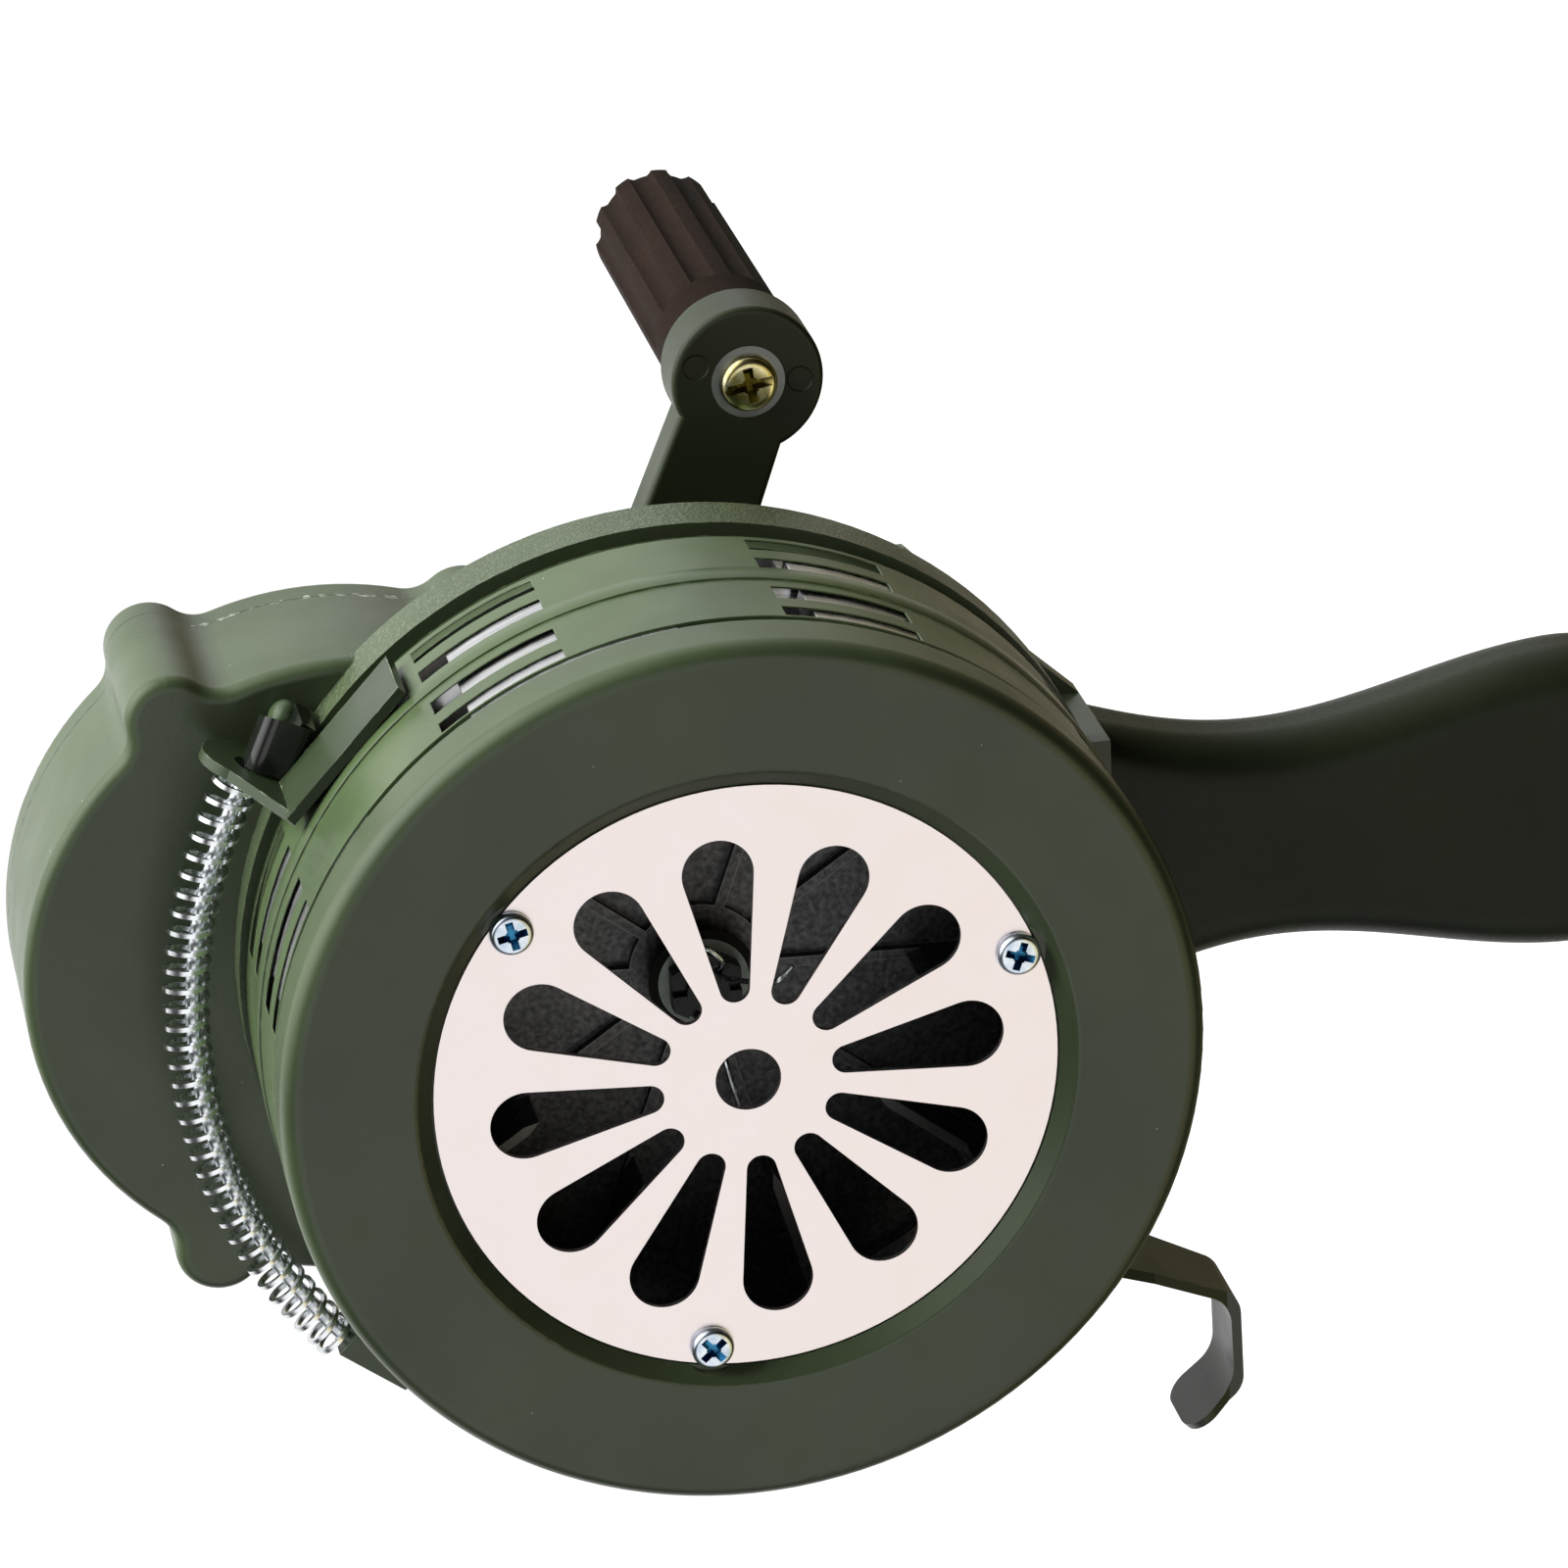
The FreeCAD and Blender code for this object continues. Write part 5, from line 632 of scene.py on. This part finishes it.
def facing_front(point, turn):
    """A matrix that turns z to the front at a point, after a turn about z in degrees."""
    facing = Vector((0, -1, 0)).to_track_quat("Z", "Y").to_matrix().to_4x4()
    return Matrix.Translation(point) @ facing @ Matrix.Rotation(math.radians(turn), 4, "Z")


def recess_cutter(recess, rise, longer):
    """The tapered cross of a driver's tip, in metres about z; one of its arms may be a longer slot."""
    cutter = bmesh.new()
    for quarter, stretch in ((0, 1.0), (90, longer)):
        made = bmesh.ops.create_cube(cutter, size=1)["verts"]
        for v in made:
            deep = v.co.z < 0
            reach = recess * stretch * (0.9 if deep else 2.0)
            width = recess * (0.3 if deep else 0.5)
            height = rise * (0.08 if deep else 1.25)
            v.co = Vector((v.co.x * reach, v.co.y * width, height)) * MM
        turned = Matrix.Rotation(math.radians(quarter), 3, "Z")
        bmesh.ops.rotate(cutter, verts=made, cent=(0, 0, 0), matrix=turned)
    made = bmesh.ops.create_cone(cutter, cap_ends=True, segments=4, radius1=recess * 0.25 * MM,
                                 radius2=recess * 0.55 * MM, depth=rise * MM * 1.2)["verts"]
    bmesh.ops.translate(cutter, verts=made, vec=(0, 0, rise * MM * 0.72))
    diagonal = Matrix.Rotation(math.radians(45), 3, "Z")
    bmesh.ops.rotate(cutter, verts=made, cent=(0, 0, 0), matrix=diagonal)
    return cutter


def cross_screw(head, rise, shank, length, recess, rounding, longer=1.0):
    """A pan-head screw with a cross recess, its head on z = 0, in metres; the recess is marked 1, for a
    darker finish that is painted shade.
    """
    arc = [math.radians(15 * i) for i in range(7)]
    flat = head - rounding
    crown = [(flat + rounding * math.cos(a), rise - rounding + rounding * math.sin(a)) for a in arc]
    profile = [(0, -length), (shank * 0.7, -length), (shank, -length + shank * 0.4), (shank, 0),
               (head * 0.985, 0), (head, rise * 0.08)] + crown + [(0, rise)]
    body = as_object(lathe([(r * MM, h * MM) for r, h in profile]), "screw_blank")
    cutter = as_object(recess_cutter(recess, rise, longer), "recess_cutter")
    carve = body.modifiers.new("recess", "BOOLEAN")
    carve.operation = "DIFFERENCE"
    carve.object = cutter
    carve.solver = "EXACT"
    carve.use_self = True
    finished = bmesh.new()
    finished.from_object(body, bpy.context.evaluated_depsgraph_get())
    for leftover in (body, cutter):
        bpy.data.objects.remove(leftover)
    for face in finished.faces:
        middle = face.calc_center_median()
        reach = math.hypot(middle.x, middle.y) / MM
        skin = rise if reach < flat else rise - rounding
        sunk = 0 < middle.z < (skin - 0.1) * MM and reach < head * 0.9
        face.material_index = int(sunk)
    return finished


def screw_set(name, node, finishes, slot, places, **form):
    """One piece that holds a group of like screws in place of their CAD node."""
    whole = bmesh.new()
    for point, turn in places:
        screw = cross_screw(**form)
        bmesh.ops.transform(screw, matrix=facing_front(point, turn), verts=screw.verts)
        join(whole, screw)
    return finished_piece(whole, name, finishes, node)


GRILLE_SCREW_CIRCLE = 53.5
GRILLE_SCREW_PHASE = 49.7
GRILLE_FACE = 2.5        # depth of the grille's front, which the heads sit on
GRILLE_SCREW_TURNS = (12, 40, -20)
GRIP_WASHER_FACE = 116.1

grille_places = [(on_drum(GRILLE_SCREW_CIRCLE, GRILLE_SCREW_PHASE + 120 * i, GRILLE_FACE), turn)
                 for i, turn in enumerate(GRILLE_SCREW_TURNS)]
screw_set("grille_screw_heads", "grille_screws", ["blue_zinc", "blue_recess_shade"], "zinc_screw", grille_places,
          head=4.0, rise=1.9, shank=2.0, length=7.0, recess=3.1, rounding=1.2)
screw_set("grip_screw_head", "grip_screw", ["yellow_zinc", "yellow_recess_shade"], "zinc_screw",
          [(drum_point(KNOB[0], GRIP_WASHER_FACE, KNOB[1]), 8)],
          head=5.6, rise=2.6, shank=2.5, length=20.0, recess=4.0, rounding=1.9, longer=1.3)


# ---------------------------------------------------------------- split pin of the rotor

def wire(points, radius, sides=10):
    """A round wire through points in mm, its ends closed."""
    bm = bmesh.new()
    rings = []
    for i, point in enumerate(points):
        back, ahead = points[max(i - 1, 0)], points[min(i + 1, len(points) - 1)]
        turned = (ahead - back).to_track_quat("Z", "Y").to_matrix()
        spokes = [math.tau * k / sides for k in range(sides)]
        rings.append([bm.verts.new(point + turned @ Vector((math.cos(a), math.sin(a), 0)) * radius * MM)
                      for a in spokes])
    for near, far in zip(rings, rings[1:]):
        for k in range(sides):
            bm.faces.new((near[k], near[(k + 1) % sides], far[(k + 1) % sides], far[k]))
    bm.faces.new(rings[0])
    bm.faces.new(rings[-1])
    bmesh.ops.recalc_face_normals(bm, faces=bm.faces)
    return bm


def curve_through(corners, steps=8):
    """Points on a smooth curve through corners in mm (Catmull-Rom)."""
    ends = [corners[0]] + corners + [corners[-1]]
    points = []
    for a, b, c, d in zip(ends, ends[1:], ends[2:], ends[3:]):
        for i in range(steps):
            u = i / steps
            points.append(0.5 * ((2 * b) + (c - a) * u + (2 * a - 5 * b + 4 * c - d) * u ** 2
                                 + (3 * b - a - 3 * c + d) * u ** 3))
    return points + [corners[-1]]


PIN_WIRE = 0.55          # radius of the pin's wire
SPLIT_PIN = (            # points along each leg: x, depth, z
    ((6.8, 43, 0.1), (7.4, 38, 0.0), (8.2, 33, 0.0), (11.2, 29.5, -1.0), (14.4, 29, 1.8), (14.2, 30, 5.5)),
    ((-6.8, 43, 0.3), (-7.4, 38, 0.2), (-8.6, 32, -0.5), (-13.0, 28, -1.2), (-16.5, 25.5, -2.0)),
    ((-6.6, 43, 0.0), (0.0, 43, 0.0), (6.8, 43, 0.0)),
    ((2.8, 41, -2.4), (3.6, 36, -6.5), (4.6, 32, -10.8), (7.9, 31, -14.2)),
)


def split_pin_wire():
    """The rotor's split pin: through the shaft, its legs bent forward and spread."""
    whole = bmesh.new()
    for leg in SPLIT_PIN:
        join(whole, wire(curve_through([drum_point(*corner) for corner in leg]), PIN_WIRE))
    return finished_piece(whole, "split_pin_wire", ["pin_wire"], "split_pin")


split_pin_wire()


# ---------------------------------------------------------------- floor, light and camera

MIRRORED = (-0.39, -0.906, -0.161)     # where the front face mirrors the camera's line of sight
KEY_SIDE = (0.56, 0.06, 0.83)          # direction of the main light
FILL_SIDE = (-0.7, -0.9, 0.1)
CAMERA_PLACE = (0.48812, -1.08408, 0.31656)
CAMERA_RIGHT = (-0.0504269, -0.19557727, -0.97939096)
CAMERA_UP = (0.91928279, 0.37419447, -0.12205597)
CAMERA_BACK = (0.39035405, -0.90649216, 0.16092135)


def surroundings(tree, way):
    """Strength of what a ray in the direction way meets: an overhead sheet, a window and a backdrop."""
    depth = add(tree, "ShaderNodeSeparateXYZ", {"Vector": way}, "Y")
    height = add(tree, "ShaderNodeSeparateXYZ", {"Vector": way}, "Z")
    behind = add(tree, "ShaderNodeMapRange", {"Value": depth, "From Min": -0.1, "From Max": 0.3,
                                              "To Min": 0.05})
    raised = add(tree, "ShaderNodeMapRange", {"Value": height, "From Min": -0.45, "From Max": -0.1,
                                              "To Min": 0.25})
    backdrop = add(tree, "ShaderNodeMath", {0: behind, 1: raised}, operation="MULTIPLY")
    toward = add(tree, "ShaderNodeVectorMath", {0: way, 1: MIRRORED}, "Value", operation="DOT_PRODUCT")
    window = add(tree, "ShaderNodeMapRange", {"Value": toward, "From Min": 0.6, "From Max": 0.85,
                                              "To Max": 1.1})
    above = add(tree, "ShaderNodeVectorMath", {0: way, 1: KEY_SIDE}, "Value", operation="DOT_PRODUCT")
    sheet = add(tree, "ShaderNodeMapRange", {"Value": above, "From Min": 0.6, "From Max": 0.9,
                                             "To Max": 2.6})
    fronts = add(tree, "ShaderNodeMath", {0: window, 1: sheet}, operation="MAXIMUM")
    shine = add(tree, "ShaderNodeMath", {0: backdrop, 1: fronts}, operation="MAXIMUM")
    glossy_ray = add(tree, "ShaderNodeLightPath", {}, "Is Glossy Ray")
    mirrored = add(tree, "ShaderNodeMath", {0: shine, 1: glossy_ray}, operation="MULTIPLY")
    diffuse_ray = add(tree, "ShaderNodeLightPath", {}, "Is Diffuse Ray")
    soft = add(tree, "ShaderNodeMath", {0: diffuse_ray, 1: 0.22}, operation="MULTIPLY")
    return add(tree, "ShaderNodeMath", {0: mirrored, 1: soft}, operation="MAXIMUM")


def floor_and_backdrop():
    """A wide floor under the handle's butt, white where it is seen, faintly warm where it is mirrored."""
    bm = bmesh.new()
    bmesh.ops.create_grid(bm, x_segments=8, y_segments=8, size=30)
    bmesh.ops.translate(bm, verts=bm.verts, vec=(0, 0, cad_low.z))
    floor = as_object(bm, "studio_floor")
    material, tree, paper = new_finish("white_paper_floor")[:3]
    feed(tree, paper, {"Base Color": "#f4f4f4", "Roughness": 0.9})
    camera_ray = add(tree, "ShaderNodeLightPath", {}, "Is Camera Ray")
    share = add(tree, "ShaderNodeMath", {0: camera_ray, 1: 0.85}, operation="MULTIPLY")
    glow = add(tree, "ShaderNodeEmission", {"Color": "#ffffff", "Strength": 1.16})
    seen = add(tree, "ShaderNodeMixShader", {0: share, 1: paper.outputs["BSDF"], 2: glow})
    back = add(tree, "ShaderNodeNewGeometry", {}, "Incoming")
    way = add(tree, "ShaderNodeVectorMath", {0: back, "Scale": -1.0}, operation="SCALE")
    steep = add(tree, "ShaderNodeSeparateXYZ", {"Vector": back}, "Z")
    warmth = add(tree, "ShaderNodeMapRange", {"Value": steep, "From Min": 0.2, "From Max": 0.45})
    tint = add(tree, "ShaderNodeMix", {0: warmth, 6: "#ffffff", 7: "#eedfae"}, 2, data_type="RGBA")
    dim = add(tree, "ShaderNodeEmission", {"Color": tint, "Strength": surroundings(tree, way)})
    shown = add(tree, "ShaderNodeMixShader", {0: camera_ray, 1: dim, 2: seen})
    tree.links.new(shown, tree.nodes["Material Output"].inputs["Surface"])
    floor.data.materials.append(material)


def studio_world():
    """White where it is seen, and the studio's surroundings for every other ray."""
    world = bpy.data.worlds.new("studio")
    bpy.context.scene.world = world
    world.use_nodes = True
    tree = world.node_tree
    way = add(tree, "ShaderNodeTexCoord", {}, "Generated")
    camera_ray = add(tree, "ShaderNodeLightPath", {}, "Is Camera Ray")
    through = add(tree, "ShaderNodeLightPath", {}, "Is Transmission Ray")
    seen = add(tree, "ShaderNodeMath", {0: camera_ray, 1: through}, operation="MAXIMUM")
    strength = add(tree, "ShaderNodeMath", {0: surroundings(tree, way), 1: seen}, operation="MAXIMUM")
    feed(tree, tree.nodes["Background"], {"Color": "#ffffff", "Strength": strength})


def softbox(name, toward, distance, width, power):
    """A square area lamp that faces the drum from the direction toward; it isn't mirrored itself."""
    lamp = bpy.data.lights.new(name, "AREA")
    lamp.shape = "SQUARE"
    lamp.size = width
    lamp.energy = power
    holder = bpy.data.objects.new(name, lamp)
    bpy.context.scene.collection.objects.link(holder)
    direction = Vector(toward).normalized()
    holder.location = drum_point(0, DRUM_MIDDLE, 0) + direction * distance
    holder.rotation_euler = direction.to_track_quat("Z", "Y").to_euler()
    holder.visible_glossy = False


def camera():
    """The camera, a long lens in front and to the side, rolled so that the handle points right."""
    lens = bpy.data.cameras.new("camera")
    lens.sensor_width = 36.0
    lens.lens = 144.16
    lens.clip_start = 0.05
    lens.clip_end = 100.0
    holder = bpy.data.objects.new("camera", lens)
    bpy.context.scene.collection.objects.link(holder)
    turned = Matrix((CAMERA_RIGHT, CAMERA_UP, CAMERA_BACK)).transposed().to_4x4()
    holder.matrix_world = Matrix.Translation(CAMERA_PLACE) @ turned
    bpy.context.scene.camera = holder


bpy.context.scene.view_settings.view_transform = "Standard"
floor_and_backdrop()
studio_world()
softbox("key_lamp", KEY_SIDE, 1.4, 0.9, 88)
softbox("fill_lamp", FILL_SIDE, 1.4, 0.9, 6)
camera()
